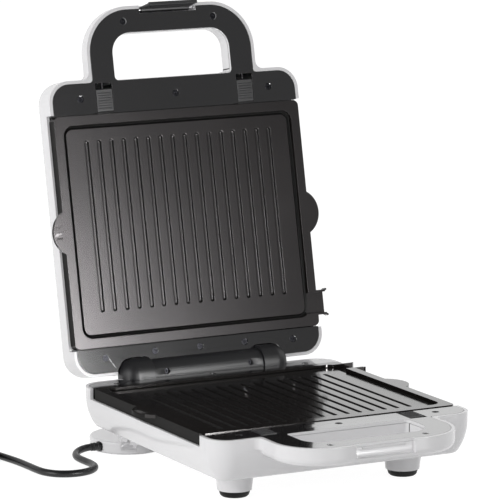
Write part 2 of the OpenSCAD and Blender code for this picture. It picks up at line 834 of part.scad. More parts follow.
// Rubber pad with a stem up into the foot
module foot_pads() {
    color("#151515") placed() for (s = [-1, 1]) translate([s * foot_gauge / 2, foot_y, -stand_h])
        rotate_extrude() {
            square([6 - 0.06, pad_h + 8]);
            polygon([[0, 0], [pad_d / 2 - 1.5, 0], [pad_d / 2, 1.5], [foot_tip_d / 2 - 0.6, pad_h - 0.1],
                     [0, pad_h - 0.1]]);
        }
}

// Round flange behind which the cord is wound, on a neck under the housing
module rear_foot_form(s) {
    x = s * rear_gauge / 2;
    top = flange_h - stand_h;
    difference() {
        union() {
            translate([x, flange_y, -stand_h]) rotate_extrude() {
                square([flange_d / 2 - 2, flange_h]);
                translate([0, 2]) square([flange_d / 2, flange_h - 4]);
                for (z = [2, flange_h - 2]) translate([flange_d / 2 - 2, z]) circle(2, $fn = 32);
            }
            rod(x, neck_y, top - 1, -base_h - seat, neck_d);
        }
        // screw up into the housing
        rod(x, neck_y, -stand_h - 1, top - 4, screw_head_d + 2);
        rod(x, neck_y, top - 5, 0, screw_d + 0.4);
        // notch in the flange's rim that the wound cord's end is clipped in
        block(x + s * 15 - 7, flange_y - flange_d / 2 - 1, top - 5.5, x + s * 15 + 7,
              flange_y - flange_d / 2 + 6.5, top + 1);
    }
}

module rear_foot_left() {
    color("white") placed() difference() {
        rear_foot_form(-1);
        // the cord's way in through the flange's side and up through the neck
        axle(-half_w, relief_in + 1, relief_exit, relief_z, relief_d + 0.2);
        lead([[relief_in - 1, relief_exit, relief_z], inner_path[0], inner_path[1], inner_path[2]], cord_d);
    }
}

module rear_foot_right() {
    color("white") placed() rear_foot_form(1);
}

module rear_foot_screws() {
    color("silver") placed() for (s = [-1, 1]) translate([s * rear_gauge / 2, neck_y, 0])
        rotate([180, 0, 0]) screw(0, 0, stand_h - flange_h + 4, 26);
}

// ---------- hinge ----------

bearing_gap = 0.06;
bearing_end = post_x + 8.5;
pin_in = barrel_l / 2 - 16;
barrel_hole_x = barrel_l / 2 - 13;

// Hollow bush held in the barrel's left end, which the lid's lead passes through
module hinge_bush() {
    color("silver") opened() difference() {
        axle(-bearing_end, -pin_in, hinge_y, hinge_z, pin_d);
        axle(-bearing_end - 1, -pin_in + 1, hinge_y, hinge_z, pin_d - 3.6);
        translate([-barrel_hole_x, hinge_y - 1.5, -pin_d]) cylinder(d = screw_d + 0.04, h = pin_d);
    }
}

// Solid pin held in the barrel's right end
module hinge_pin() {
    color("silver") opened() difference() {
        axle(pin_in, bearing_end + 6, hinge_y, hinge_z, pin_d);
        translate([barrel_hole_x, hinge_y - 1.5, -pin_d]) cylinder(d = screw_d + 0.04, h = pin_d - 3);
    }
}

// Barrel on the lid; its foot is clamped between the lid's frame and housing
module hinge_barrel() {
    foot = frame_t - frame_z + 0.2;
    color("#232427") opened() difference() {
        union() {
            axle(-barrel_l / 2, barrel_l / 2, hinge_y, hinge_z, 2 * barrel_r);
            block(-barrel_l / 2 + 1, plate_d + 4.5, foot, barrel_l / 2 - 1, hinge_y - 2, barrel_foot_z);
        }
        axle(-barrel_l / 2 - 1, barrel_l / 2 + 1, hinge_y, hinge_z, pin_d + 0.04);
        // room inside between the bush and the pin
        axle(-pin_in, pin_in, hinge_y, hinge_z, 2 * barrel_r - 6);
        // the two wells that face down when the lid is shut
        for (s = [-1, 1]) {
            rod(s * barrel_hole_x, hinge_y - 1.5, -barrel_r - 1, -8.6, 5.6);
            rod(s * barrel_hole_x, hinge_y - 1.5, -9, 0, screw_d + 0.04);
        }
        // holes for the frame's screw bosses
        for (x = [-barrel_screw_x, 0, barrel_screw_x]) rod(x, plate_d + 8, 0, 12, boss_d + 0.4);
        // way for the lead
        lead(lid_lead_path, 6.2);
    }
}

// Screws deep in the barrel's wells, which hold the bush and the pin
module barrel_screws() {
    color("#303236") opened() for (s = [-1, 1]) translate([s * barrel_hole_x, hinge_y - 1.5, -8.6])
        rotate([180, 0, 0]) difference() {
            union() {
                cylinder(d = 5, h = screw_head_h);
                translate([0, 0, -4.4]) cylinder(d = screw_d, h = 4.5);
            }
            for (a = [0, 90]) rotate([0, 0, a]) translate([-1.4, -0.3, screw_head_h - 0.8]) cube([2.8, 0.6, 2]);
        }
}

// ---------- closing clip ----------

// The clip is drawn latched and turned out to its place at rest about its pin
module closing_clip() {
    root = clip_root_d / 2;
    front = clip_axis_y - root;
    color("#232427") opened() translate([0, clip_axis_y, clip_axis_z]) rotate([-clip_rest, 0, 0])
        translate([0, -clip_axis_y, -clip_axis_z]) difference() {
            union() {
                axle(-clip_w / 2, clip_w / 2, clip_axis_y, clip_axis_z, clip_root_d);
                block(-clip_w / 2, front, -clip_drop, clip_w / 2, clip_back, clip_axis_z);
                // tooth that hooks under the ridge in the base's handle
                clip_rib(clip_w / 2 - 3, [[-0.1, -10.2], [tooth, -8], [tooth, ridge_z - 0.3], [-0.1, ridge_z - 0.3]]);
                // finger lip
                translate([0, -clip_t, 0]) clip_rib(clip_w / 2, [
                    [0.1, -clip_drop], [-0.7, -clip_drop], [-0.7, -clip_drop + 1.2], [0.1, -clip_drop + 3]]);
            }
            axle(-clip_w, clip_w, clip_axis_y, clip_axis_z, clip_pin_d + 0.12);
        }
}

// A rib along the clip's inner face
module clip_rib(x, points) {
    translate([-x, clip_back, 0]) rotate([90, 0, 90]) linear_extrude(2 * x) polygon(points);
}

module clip_pin() {
    color("silver") opened() axle(-clip_bay - 3.2, clip_bay + 3.2, clip_axis_y, clip_axis_z, clip_pin_d);
}

// ---------- electrical parts ----------

lens_x = 13;
lens_y = 14;

// Ceramic block with three screw terminals on the base's floor
module terminal_block() {
    z = -base_h + wall + 0.1;
    color("ivory") placed() difference() {
        block(-58, term_y, z, -18, term_y + term_l, z + 10);
        for (x = [-50, -38, -26]) {
            rod(x, term_y + term_l / 2, z + 3, z + 11, 4.2);
            translate([x, term_y - 1, z + 4]) rotate([-90, 0, 0]) cylinder(d = 3.2, h = term_l + 2);
        }
    }
}

lead_z = -base_h + wall + 11.5;
cord_in_z = -base_h + wall + 5;
// front side of the terminal block, and the middle of the thermostat
term_y = plate_d - 60;
term_l = 16;
stat_y = plate_d / 2 - 1;
inner_path = [
    [inner_x, relief_exit, relief_z], [inner_x, neck_y + 5, relief_z], [inner_x, neck_y + 5, cord_in_z],
    [inner_x, term_y + term_l + 14, cord_in_z], [-54, term_y + term_l + 14, cord_in_z],
    [-54, term_y + term_l + 0.2, cord_in_z]];
lead_x = -bearing_end - 4.6;
lead_d = 4.4;
base_lead_path = [
    [-50, term_y - 0.2, cord_in_z], [-50, term_y - 8, cord_in_z], [-50, term_y - 8, lead_z],
    [lead_x, term_y - 8, lead_z], [lead_x, hinge_y - 10, lead_z],
    [lead_x, hinge_y - 10, -10], [lead_x, hinge_y, 0], [-post_x + 12, hinge_y, 0]];
// where the lid's lead leaves the barrel, and its height above the lid's tray
lid_lead_x = -24;
lid_lead_y = hinge_y - 16.5;
lid_lead_z = lid_h - 15;
lid_lead_path = [
    [-post_x + 12.4, hinge_y, 0], [lid_lead_x, hinge_y, 0], [lid_lead_x, lid_lead_y, 6.6],
    [lid_lead_x, lid_lead_y, lid_lead_z], [lid_lead_x, stat_y, lid_lead_z], [-11, stat_y, lid_lead_z]];

// A sleeved lead that runs straight between the points
module lead(points, d) {
    for (i = [0:len(points) - 2]) let (a = points[i], v = points[i + 1] - a, l = norm(v)) translate(a)
        rotate([0, acos(v[2] / l), atan2(v[1], v[0])]) cylinder(d = d, h = l, $fn = 32);
    for (i = [1:len(points) - 2]) translate(points[i]) sphere(d = d + 0.3, $fn = 32);
}

// Lead from the terminals up into the hollow hinge bush
module base_lead() {
    color("#b8b2a2") placed() lead(base_lead_path, lead_d);
}

// Its continuation from the barrel to the thermostat
module lid_lead() {
    color("#b8b2a2") opened() lead(lid_lead_path, lead_d);
}

// The mains cord's end between the left rear foot and the terminals
module inner_cord() {
    color("#141416") placed() lead(concat([[relief_in + 0.5, relief_exit, relief_z]], inner_path), cord_d - 1);
}

// Disc thermostat held on the upper tray
module thermostat() {
    z = -tray_floor() + 0.2;
    color("#d8d2c4") opened() {
        rod(0, stat_y, z, z + 2.2, 19);
        rod(0, stat_y, z + 2, z + 7.5, 16);
        for (s = [-1, 1]) block(s * 5 - 3, stat_y - 0.4, z + 7, s * 5 + 3, stat_y + 0.4, z + 10.5);
    }
}

// Thermal fuse in its sleeve, strapped beside the thermostat
module thermal_fuse() {
    z = -tray_floor() + 2.3;
    color("#cfcabb") opened() {
        axle(20, 42, stat_y, z, 4);
        axle(16, 46, stat_y, z, 1.2);
    }
}

// Two domed lenses in the lid's top, near the handle
module indicator_lenses() {
    color("#b5322a") opened() for (s = [-1, 1]) translate([s * lens_x, lens_y, 0]) {
        rod(0, 0, lid_h - wall - 2, lid_h + 0.8, lens_d);
        translate([0, 0, lid_h - wall - 2]) cylinder(d = lens_d + 3, h = 2 - seat);
        translate([0, 0, lid_h + 0.7]) intersection() {
            translate([0, 0, 1.3 - lens_d * 0.85]) sphere(lens_d * 0.85);
            cylinder(d = lens_d, h = 3);
        }
    }
}

// Small board behind the lenses with the two neon lamps
module lamp_holder() {
    z = lid_h - wall - lamp_gap - seat;
    color("#c9b98a") opened() {
        block(-lens_x - 9, lens_y - 8, z - 1.6, lens_x + 9, lens_y + 8, z);
        for (s = [-1, 1]) rod(s * lens_x, lens_y, z - 8, z - 1.5, 5);
    }
}

// ---------- mains cord ----------

// Tapered sleeve out of the left rear foot
module strain_relief() {
    color("#141416") placed() translate([relief_tip, relief_exit, relief_z]) rotate([0, 90, 0])
        cylinder(d1 = cord_d + 1, d2 = relief_d, h = relief_l);
}

// Route of the cord on the floor, from the sleeve to the coil, chosen by hand
route = [
    [relief_tip - 0.05, relief_exit, 5.9], [relief_tip - 2.5, relief_exit, 5.9], [-131, 217.6, 5.5],
    [-138, 214.2, 4.6], [-143, 208.5, 3.8], [-145.8, 201, 3.3], [-146.8, 192, 3.2], [-146.5, 181, 3.2],
    [-146.2, 170, 3.2], [-149, 157, 3.2], [-157, 148, 3.2],
    [-168, 143.8, 3.2], [-180, 144.8, 3.2], [-190, 151, 3.2], [-196, 161, 3.2], [-198, 173, 3.2],
    [-198.6, 186, 3.2], [-199.4, 200, 3.2], [-201, 213, 3.3], [-203.6, 225, 3.6], [-206.6, 236, 4.0],
    [-208.7, 245, 4.2], [-209.2, 251.5, 4.2]];
// Route of the cord's end from the coil's top into the plug
tail_route = [
    [-209.2, 252.9, 11.2], [-209.6, 262, 11.2], [-211.5, 273, 11.1], [-215, 284, 10.8], [-219, 295, 10.4],
    [-222, 305, 10.1], [-223.2, 314, 10], [-223.4, 322, 10]];
coil_at = [-247.2, 252];
coil_pitch = 7;
coil_turns = 4;
coil_r_out = 38;
coil_lift = 4.2;

function unit(v) = v / norm(v);
function ring_dir(p, i) = unit(p[min(i + 1, len(p) - 1)] - p[max(i - 1, 0)]);

// One closed tube swept along the points, with rings square to the path
module tube(p, d, sides) {
    n = len(p);
    rings = [for (i = [0:n - 1]) let (t = ring_dir(p, i), a = unit(cross([0, 0, 1], t)), b = cross(t, a))
        for (k = [0:sides - 1]) p[i] + d / 2 * (cos(360 * k / sides) * a + sin(360 * k / sides) * b)];
    walls = [for (i = [0:n - 2], k = [0:sides - 1]) let (m = (k + 1) % sides)
        each [[i * sides + k, i * sides + m, (i + 1) * sides + k],
              [i * sides + m, (i + 1) * sides + m, (i + 1) * sides + k]]];
    caps = [for (k = [1:sides - 2]) each [[0, k + 1, k], [(n - 1) * sides, (n - 1) * sides + k, (n - 1) * sides + k + 1]]];
    polyhedron(points = rings, faces = [for (f = concat(walls, caps)) [f[0], f[2], f[1]]]);
}

// Coil: in along the bottom layer, up in the half turn where it reverses, and out on top
function coil_point(u) =
    let (turn = u * coil_turns, mid = coil_turns / 2, r = coil_r_out - coil_pitch * (mid - abs(turn - mid)),
         climb = min(max((turn - mid) * 2 + 0.5, 0), 1), z = coil_lift + coil_pitch * climb,
         a = 360 * turn)
    [coil_at[0] + r * cos(a), coil_at[1] + r * sin(a), z];
coil_rings = 96;
coil_path = [for (i = [0:coil_rings]) coil_point(i / coil_rings)];
coil_gap = min([for (i = [0:coil_rings], j = [0:coil_rings]) if (j - i > 12) norm(coil_path[i] - coil_path[j])]) - cord_d;
echo(coil_gap_mm = coil_gap, coil_start = coil_path[0], coil_end = coil_path[coil_rings]);

function path_len(p) = len(p) < 2 ? 0 : [for (i = 0, s = 0; i < len(p); s = s + (i + 1 < len(p) ? norm(p[i + 1] - p[i]) : 0), i = i + 1) s][len(p) - 1];
echo(route_mm = path_len(route), coil_mm = path_len(coil_path), tail_mm = path_len(tail_route));

module on_floor() {
    translate([0, shift_y, 0]) children();
}

module cord_run() {
    color("#141416") on_floor() tube(route, cord_d, 8);
}

module cord_coil() {
    color("#141416") on_floor() tube(coil_path, cord_d, 6);
}

module cord_tail() {
    color("#141416") on_floor() tube(tail_route, cord_d, 8);
}

// Band round the coil's turns
module cord_tie() {
    color("#202022") on_floor() translate([coil_at[0], coil_at[1], 0]) rotate([0, 0, -90])
        difference() {
            block(21.2, -3, 0.05, 40.8, 3, 15.5);
            block(22, -4, 0.85, 40, 4, 14.7);
        }
}

// Three-pin plug lying on its back
module mains_plug() {
    x = tail_route[len(tail_route) - 1][0];
    y = tail_route[len(tail_route) - 1][1];
    color("#141416") on_floor() {
        difference() {
            hull() {
                block(x - 20, y + 0.1, 1.5, x + 20, y + 4, 18);
                block(x - 25, y + 18, 0, x + 25, y + 40, 20);
                block(x - 22, y + 40, 1.5, x + 22, y + 48, 18.5);
            }
            for (s = [-1, 1]) block(x - 25 * s - 4, y + 24, 4, x - 25 * s + 4, y + 34, 15);
        }
        block(x - 2, y + 32, 19.9, x + 2, y + 40, 42);
        for (s = [-1, 1]) block(x + s * 11 - 3.2, y + 12, 19.9, x + s * 11 + 3.2, y + 16, 37.5);
    }
}

base_shell();
base_frame();
lower_plate();
lower_heater();
lower_heater_clips();
lower_reflector();
base_latch_left();
base_latch_right();
base_latch_springs();
base_frame_screws();
front_feet();
foot_pads();
rear_foot_left();
rear_foot_right();
rear_foot_screws();
hinge_bush();
hinge_pin();
terminal_block();
base_lead();
inner_cord();
lid_shell();
lid_frame();
upper_plate();
upper_heater();
upper_heater_clips();
upper_reflector();
lid_latch_left();
lid_latch_right();
lid_latch_springs();
lid_frame_screws();
hinge_barrel();
barrel_screws();
thermostat();
thermal_fuse();
indicator_lenses();
lamp_holder();
lid_lead();
closing_clip();
clip_pin();
strain_relief();
cord_run();
cord_coil();
cord_tail();
cord_tie();
mains_plug();
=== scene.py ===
import json
import math
import bmesh
import bpy
import numpy as np
from mathutils import Matrix

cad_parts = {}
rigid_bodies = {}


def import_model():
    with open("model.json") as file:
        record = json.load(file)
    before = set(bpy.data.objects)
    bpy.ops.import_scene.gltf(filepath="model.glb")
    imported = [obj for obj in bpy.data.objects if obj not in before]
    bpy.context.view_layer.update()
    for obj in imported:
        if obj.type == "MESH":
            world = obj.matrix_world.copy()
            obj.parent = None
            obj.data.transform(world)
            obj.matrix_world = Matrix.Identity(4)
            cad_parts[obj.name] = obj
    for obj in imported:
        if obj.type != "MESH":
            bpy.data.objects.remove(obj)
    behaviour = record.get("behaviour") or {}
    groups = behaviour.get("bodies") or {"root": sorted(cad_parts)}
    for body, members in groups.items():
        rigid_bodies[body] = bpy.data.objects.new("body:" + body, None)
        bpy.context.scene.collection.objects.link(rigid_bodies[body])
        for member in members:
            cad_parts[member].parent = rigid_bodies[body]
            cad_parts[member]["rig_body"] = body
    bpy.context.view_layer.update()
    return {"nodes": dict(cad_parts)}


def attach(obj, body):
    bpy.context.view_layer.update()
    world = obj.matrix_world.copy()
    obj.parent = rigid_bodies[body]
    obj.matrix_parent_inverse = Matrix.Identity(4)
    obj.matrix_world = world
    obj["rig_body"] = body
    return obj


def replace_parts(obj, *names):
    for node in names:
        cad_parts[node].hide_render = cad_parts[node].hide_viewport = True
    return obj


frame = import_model()


# ---------- camera ----------
# The toaster is seen from the front left through a long lens, from a little above its plates.
# The lens stands level, so that the lid's sides keep their slight lean.
def facing(place, back):
    """Where a camera or a lamp stands, held level, with its back along that direction."""
    back = back / np.linalg.norm(back)
    right = np.cross([0, 0, 1], back)
    right /= np.linalg.norm(right)
    return Matrix.Translation(place) @ Matrix((right, np.cross(back, right), back)).transposed().to_4x4()


lens = bpy.data.cameras.new("camera")
lens.lens, lens.sensor_width = 271.9, 36
camera = bpy.data.objects.new("camera", lens)
camera.matrix_world = facing((-1.5451, -2.8792, 0.7688), np.array([-0.4619, -0.8697, 0.1742]))
bpy.context.scene.collection.objects.link(camera)
bpy.context.scene.camera = camera


# ---------- mains cord ----------
# Round black PVC cord, 6.4 mm thick. It leaves the left rear foot, bends down to the worktop and
# forward, turns back in a loose S and is wound behind into a coil of four turns in two layers.
# The coil's turns draw in by 7 mm each, rise to the second layer and open out again.
def add(tree, kind, inputs=(), **options):
    """One shader node: options are its own settings, inputs its sockets' values or links."""
    made = tree.nodes.new("ShaderNode" + kind)
    for key, value in options.items():
        setattr(made, key, value)
    for key, value in dict(inputs).items():
        if isinstance(value, bpy.types.NodeSocket):
            tree.links.new(value, made.inputs[key])
        else:
            made.inputs[key].default_value = value
    return made


def skin_group():
    """Shared surface detail: a slow noise mottles colour and roughness, a fine one gives the grain
    as bump, and the bump starts from a normal that is rounded over each edge."""
    tree = bpy.data.node_groups.new("moulded_skin", "ShaderNodeTree")
    for name, kind in (("Colour", "Color"), ("Roughness", "Float"), ("Mottle", "Float"),
                       ("Spread", "Float"), ("Grain", "Float"), ("Depth", "Float")):
        tree.interface.new_socket(name, in_out="INPUT", socket_type="NodeSocket" + kind)
    for name, kind in (("Colour", "Color"), ("Roughness", "Float"), ("Normal", "Vector")):
        tree.interface.new_socket(name, in_out="OUTPUT", socket_type="NodeSocket" + kind)
    given = tree.nodes.new("NodeGroupInput").outputs
    out = tree.nodes.new("NodeGroupOutput")
    at = add(tree, "TexCoord").outputs["Object"]
    slow = add(tree, "TexNoise", {"Vector": at, "Scale": 14, "Detail": 4}).outputs["Fac"]
    fine = add(tree, "TexNoise", {"Vector": at, "Scale": given["Grain"], "Detail": 2}).outputs["Fac"]
    drift = add(tree, "Math", {0: slow, 1: 0.5}, operation="SUBTRACT").outputs[0]
    lift = add(tree, "Math", {0: drift, 1: given["Mottle"], 2: 1.0},
               operation="MULTIPLY_ADD").outputs[0]
    colour = add(tree, "VectorMath", {0: given["Colour"], "Scale": lift}, operation="SCALE").outputs[0]
    rough = add(tree, "Math", {0: drift, 1: given["Spread"], 2: given["Roughness"]},
                operation="MULTIPLY_ADD").outputs[0]
    edge = add(tree, "Bevel", {"Radius": 0.0005}, samples=4).outputs[0]
    bump = add(tree, "Bump", {"Height": fine, "Distance": given["Depth"], "Normal": edge}).outputs[0]
    for name, value in (("Colour", colour), ("Roughness", rough), ("Normal", bump)):
        tree.links.new(value, out.inputs[name])
    return tree


skin = skin_group()


def finish(name, colour, roughness, mottle=0.08, spread=0.08, grain=900, depth=4e-6, **sockets):
    """A moulded or coated finish: the shared surface detail into the shader, whose own sockets
    hold what is the same all over."""
    made = bpy.data.materials.new(name)
    made.use_nodes = True
    tree = made.node_tree
    shader = tree.nodes["Principled BSDF"]
    for key, value in sockets.items():
        shader.inputs[key.replace("_", " ").title().replace("Ior", "IOR")].default_value = value
    detail = tree.nodes.new("ShaderNodeGroup")
    detail.node_tree = skin
    for key, value in (("Colour", (*colour, 1)), ("Roughness", roughness), ("Mottle", mottle),
                       ("Spread", spread), ("Grain", grain), ("Depth", depth)):
        detail.inputs[key].default_value = value
    tree.links.new(detail.outputs["Colour"], shader.inputs["Base Color"])
    tree.links.new(detail.outputs["Roughness"], shader.inputs["Roughness"])
    tree.links.new(detail.outputs["Normal"], shader.inputs["Normal"])
    return made


def piece_of(name, body, material, slot, vertices, faces, crease=40):
    """A mesh piece of that finish, smooth but for edges sharper than crease, riding on a body."""
    mesh = bpy.data.meshes.new(name)
    mesh.from_pydata(vertices, [], faces)
    mesh.validate()
    mesh.materials.append(material)
    mesh.shade_smooth()
    mesh.set_sharp_from_angle(angle=math.radians(crease))
    piece = bpy.data.objects.new(name, mesh)
    bpy.context.scene.collection.objects.link(piece)
    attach(piece, body)
    return piece


def skin_faces(rings, around, capped=True, closed=False):
    """Faces of a skin over rings of points: each point joins the next in its ring and in the next
    ring, the last ring joins the first if closed, and otherwise a face closes either end."""
    belts = rings if closed else rings - 1
    ring, point = np.meshgrid(np.arange(belts), np.arange(around), indexing="ij")
    after, beside = (ring + 1) % rings, (point + 1) % around
    quads = np.stack([ring * around + point, ring * around + beside,
                      after * around + beside, after * around + point], -1).reshape(-1, 4)
    faces = quads.tolist()
    if capped and not closed:
        faces += [list(range(around))[::-1], list(range((rings - 1) * around, rings * around))]
    return faces


def smooth_path(points, step):
    """A cubic through the points, each one's direction taken from its two neighbours, cut again
    into equal steps."""
    along = np.r_[0, np.cumsum(np.linalg.norm(np.diff(points, axis=0), axis=1))]
    lean = np.gradient(points, along, axis=0)
    s = np.linspace(0, along[-1], 12 * len(points))
    i = np.clip(np.searchsorted(along, s, side="right") - 1, 0, len(points) - 2)
    h = (along[i + 1] - along[i])[:, None]
    t = ((s - along[i])[:, None]) / h
    fine = ((2 * t**3 - 3 * t**2 + 1) * points[i] + (t**3 - 2 * t**2 + t) * h * lean[i]
            + (3 * t**2 - 2 * t**3) * points[i + 1] + (t**3 - t**2) * h * lean[i + 1])
    run = np.r_[0, np.cumsum(np.linalg.norm(np.diff(fine, axis=0), axis=1))]
    even = np.linspace(0, run[-1], int(run[-1] / step) + 1)
    return np.stack([np.interp(even, run, fine[:, k]) for k in range(3)], 1)


def tube_rings(path, radius, around):
    """Circles square to the path, of one radius or one for each point: the level vector across
    the path and the one square to both carry them."""
    ahead = np.gradient(path, axis=0)
    ahead /= np.linalg.norm(ahead, axis=1)[:, None]
    across = np.cross([0, 0, 1], ahead)
    across /= np.linalg.norm(across, axis=1)[:, None]
    upright = np.cross(ahead, across)
    a = np.linspace(0, 2 * np.pi, around, endpoint=False)
    radius = np.broadcast_to(radius, len(path))[:, None, None]
    return (path[:, None] + radius * (np.cos(a)[:, None] * across[:, None]
                                      + np.sin(a)[:, None] * upright[:, None])).reshape(-1, 3)


middle = -0.11699465    # the plates' front edge, the drawing's y = 0, once the whole is centred
cord_d = 0.0064


def on_floor(points):
    """Millimetres, with y from the plates' front edge and z from the floor, to metres."""
    return points * 0.001 + [0, middle, 0]


first_run = np.array([
    [-122, 218.5, 5.9], [-125.5, 218.5, 5.9], [-131, 217.6, 5.5], [-138, 214.2, 4.6], [-143, 208.5, 3.8],
    [-145.8, 201, 3.3], [-146.8, 192, 3.2], [-146.5, 181, 3.2], [-146.2, 170, 3.2], [-149, 157, 3.2],
    [-157, 148, 3.2], [-168, 143.8, 3.2], [-180, 144.8, 3.2], [-190, 151, 3.2], [-196, 161, 3.2],
    [-198, 173, 3.2], [-198.6, 186, 3.2], [-199.4, 200, 3.2], [-201, 213, 3.3], [-203.6, 225, 3.6],
    [-206.6, 236, 4.0], [-208.7, 245, 4.2]])
last_run = np.array([
    [-209.6, 262, 11.2], [-211.5, 273, 11.1], [-215, 284, 10.8], [-219, 295, 10.4], [-222, 305, 10.1],
    [-223.2, 314, 10], [-223.4, 323, 10]])
coil_x, coil_y, coil_z, coil_r, turn_gap, turns = -247.2, 252.0, 4.2, 38.0, 7.0, 4
turn = np.linspace(0, turns, 225)
spread = coil_r - turn_gap * (turns / 2 - abs(turn - turns / 2))
layer = np.clip((turn - turns / 2) * 2 + 0.5, 0, 1)
coil = np.stack([coil_x + spread * np.cos(2 * np.pi * turn), coil_y + spread * np.sin(2 * np.pi * turn),
                 coil_z + turn_gap * layer], 1)
cord_path = on_floor(smooth_path(np.vstack([first_run, coil, last_run]), 2.0))
cord_black = finish("cord_rubber", (0.007, 0.007, 0.008), 0.34, grain=1500, depth=6e-6)
cord = piece_of("mains_cord", "base", cord_black, "cord_rubber",
                tube_rings(cord_path, cord_d / 2, 16), skin_faces(len(cord_path), 16))
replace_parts(cord, "cord_run", "cord_coil", "cord_tail")


# ---------- strain relief ----------
# Tapered black rubber sleeve moulded on the cord, with grooves round it that let it flex.
# Its thick end sits in the left rear foot's flange.
exit_x, exit_y, exit_z, sleeve_l = -97.0, 218.5, 5.9, 26.0
s = np.linspace(0, 1, 53)
grooved = (np.sin(s * np.pi * 13) > 0.35) * (s < 0.97)
sleeve_r = 4.3 - 0.6 * s - 0.45 * grooved
sleeve_path = on_floor(np.stack([exit_x - sleeve_l * s, 0 * s + exit_y, 0 * s + exit_z], 1))
sleeve = piece_of("cord_sleeve", "base", cord_black, "cord_rubber",
                  tube_rings(sleeve_path, sleeve_r * 0.001, 32), skin_faces(53, 32), crease=30)
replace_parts(sleeve, "strain_relief")


# ---------- cord tie ----------
# Flat strap of soft black plastic round the coil's near side, closed on itself with its end lapped
# over the top. It keeps the four turns together.
def squared(a, power):
    """How far a squared round stands out at angle a: |cos|^power and |sin|^power add up to one."""
    return (abs(np.cos(a)) ** power + abs(np.sin(a)) ** power) ** (-1 / power)


tie_black = finish("tie_plastic", (0.02, 0.02, 0.022), 0.7, grain=2600, depth=5e-5)
tie_r, tie_z, half_r, half_z, half_w = 31.0, 7.8, 9.4, 7.35, 3.0
a = np.linspace(0, 2 * np.pi, 72, endpoint=False)
lap = 0.35 * np.exp(-((a - 1.35) / 0.5) ** 4)
outward = np.stack([squared(a, 5) * np.cos(a), squared(a, 5) * np.sin(a)], 1)
loop = [tie_r, tie_z] + outward * [half_r, half_z]
inside, outside = 0 * a - 0.35, 0.3 + lap
strap = [(x, loop + outward * t[:, None]) for x, t in
         ((-half_w, inside), (0.2 - half_w, outside), (half_w - 0.2, outside), (half_w, inside))]
rings = np.stack([np.stack([coil_x + 0 * a + x, coil_y - p[:, 0], p[:, 1]], 1) for x, p in strap], 1)
tie = piece_of("cord_strap", "base", tie_black, "tie_plastic",
               on_floor(rings.reshape(-1, 3)), skin_faces(72, 4, closed=True))
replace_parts(tie, "cord_tie")


# ---------- mains plug ----------
# Black three-pin plug moulded on the cord's end, lying on its back: a waisted body, a fuse cover on
# the pin face, and solid brass pins of which two are sleeved halfway.
def blocks(boxes):
    """Corners in metres and outward faces of upright boxes, each given in millimetres by its
    lowest and its highest corner."""
    low, high = np.array(boxes, float).transpose(1, 0, 2)
    pick = np.array([[x, y, z] for x in (0, 1) for y in (0, 1) for z in (0, 1)])
    corners = low[:, None] * (1 - pick) + high[:, None] * pick
    sides = np.array([[0, 1, 3, 2], [4, 6, 7, 5], [0, 4, 5, 1], [2, 3, 7, 6], [0, 2, 6, 4], [1, 5, 7, 3]])
    faces = sides[None] + 8 * np.arange(len(boxes))[:, None, None]
    return on_floor(corners.reshape(-1, 3)), faces.reshape(-1, 4).tolist()


def rounded_edges(piece, width, segments=3, corner=30):
    """Rounds every edge sharper than corner."""
    bevel = piece.modifiers.new("rounding", "BEVEL")
    bevel.width, bevel.segments = width, segments
    bevel.limit_method, bevel.angle_limit = "ANGLE", math.radians(corner)
    return piece


# The body is a squared round at each of 24 places s along it, from the cord's end to the far end.
# Its half width and its low and high sides follow s, and "full" draws both ends in.
plug_black = finish("plug_plastic", (0.018, 0.018, 0.02), 0.38, grain=1300, depth=1.2e-5)
plug_x, plug_y, plug_z, collar_from = -223.4, 322.0, 10.0, 315.5
s = np.array([0.1, 0.5, 1.4, 3, 6, 9, 12, 15, 18, 21, 23, 25, 27, 29, 31, 33, 35, 38, 41, 43.5, 45.6,
              47, 47.7, 48])
near_end, far_end = np.clip(1 - s / 3, 0, 1), np.clip((s - 44) / 4, 0, 1)
full = np.sqrt(1 - near_end ** 2 * 0.3) * np.sqrt(1 - far_end ** 2 * 0.35)
waist = 3.2 * np.exp(-((s - 29) / 5.5) ** 4)
half = (np.interp(s, [0, 4, 18, 40, 48], [19.5, 20, 25, 25, 23]) - waist) * full
low = np.interp(s, [0, 4, 16, 40, 48], [1.8, 1.5, 0.15, 0.15, 1.4]) + 1.5 * (1 - full)
high = np.interp(s, [0, 4, 16, 40, 48], [17.5, 18, 20, 20, 18.6]) - 1.5 * (1 - full)
a = np.linspace(0, 2 * np.pi, 48, endpoint=False)[None]
out = squared(a, 4.5)
rings = np.stack([plug_x + half[:, None] * out * np.cos(a), plug_y + s[:, None] + 0 * out,
                  (low + high)[:, None] / 2 - (high - low)[:, None] / 2 * out * np.sin(a)], -1)
plug = piece_of("plug_body", "base", plug_black, "plug_plastic",
                on_floor(rings.reshape(-1, 3)), skin_faces(24, 48), crease=50)
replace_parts(plug, "mains_plug")
s = np.linspace(0, 1, 14)
ribbed = np.arange(14) % 3 == 1
collar_path = np.stack([plug_x + 0 * s, np.linspace(collar_from, plug_y + 1, 14), plug_z + 0 * s], 1)
collar = piece_of("plug_collar", "base", plug_black, "plug_plastic",
                  tube_rings(on_floor(collar_path), (3.9 + 2.2 * s ** 1.5 - 0.4 * ribbed) * 0.001, 28),
                  skin_faces(14, 28))
cover = piece_of("plug_fuse_cover", "base", plug_black, "plug_plastic",
                 *blocks([[(-234.5, 341.5, 19.5), (-212.3, 350.5, 20.25)]]))
rounded_edges(cover, 0.0006)
brass = finish("bright_steel_pins", (0.72, 0.6, 0.36), 0.24, grain=1800, depth=4e-6, metallic=1.0)
earth, live, neutral = (-225.4, 354, -221.4, 362), (-237.6, 334, -231.2, 338), (-215.6, 334, -209.2, 338)
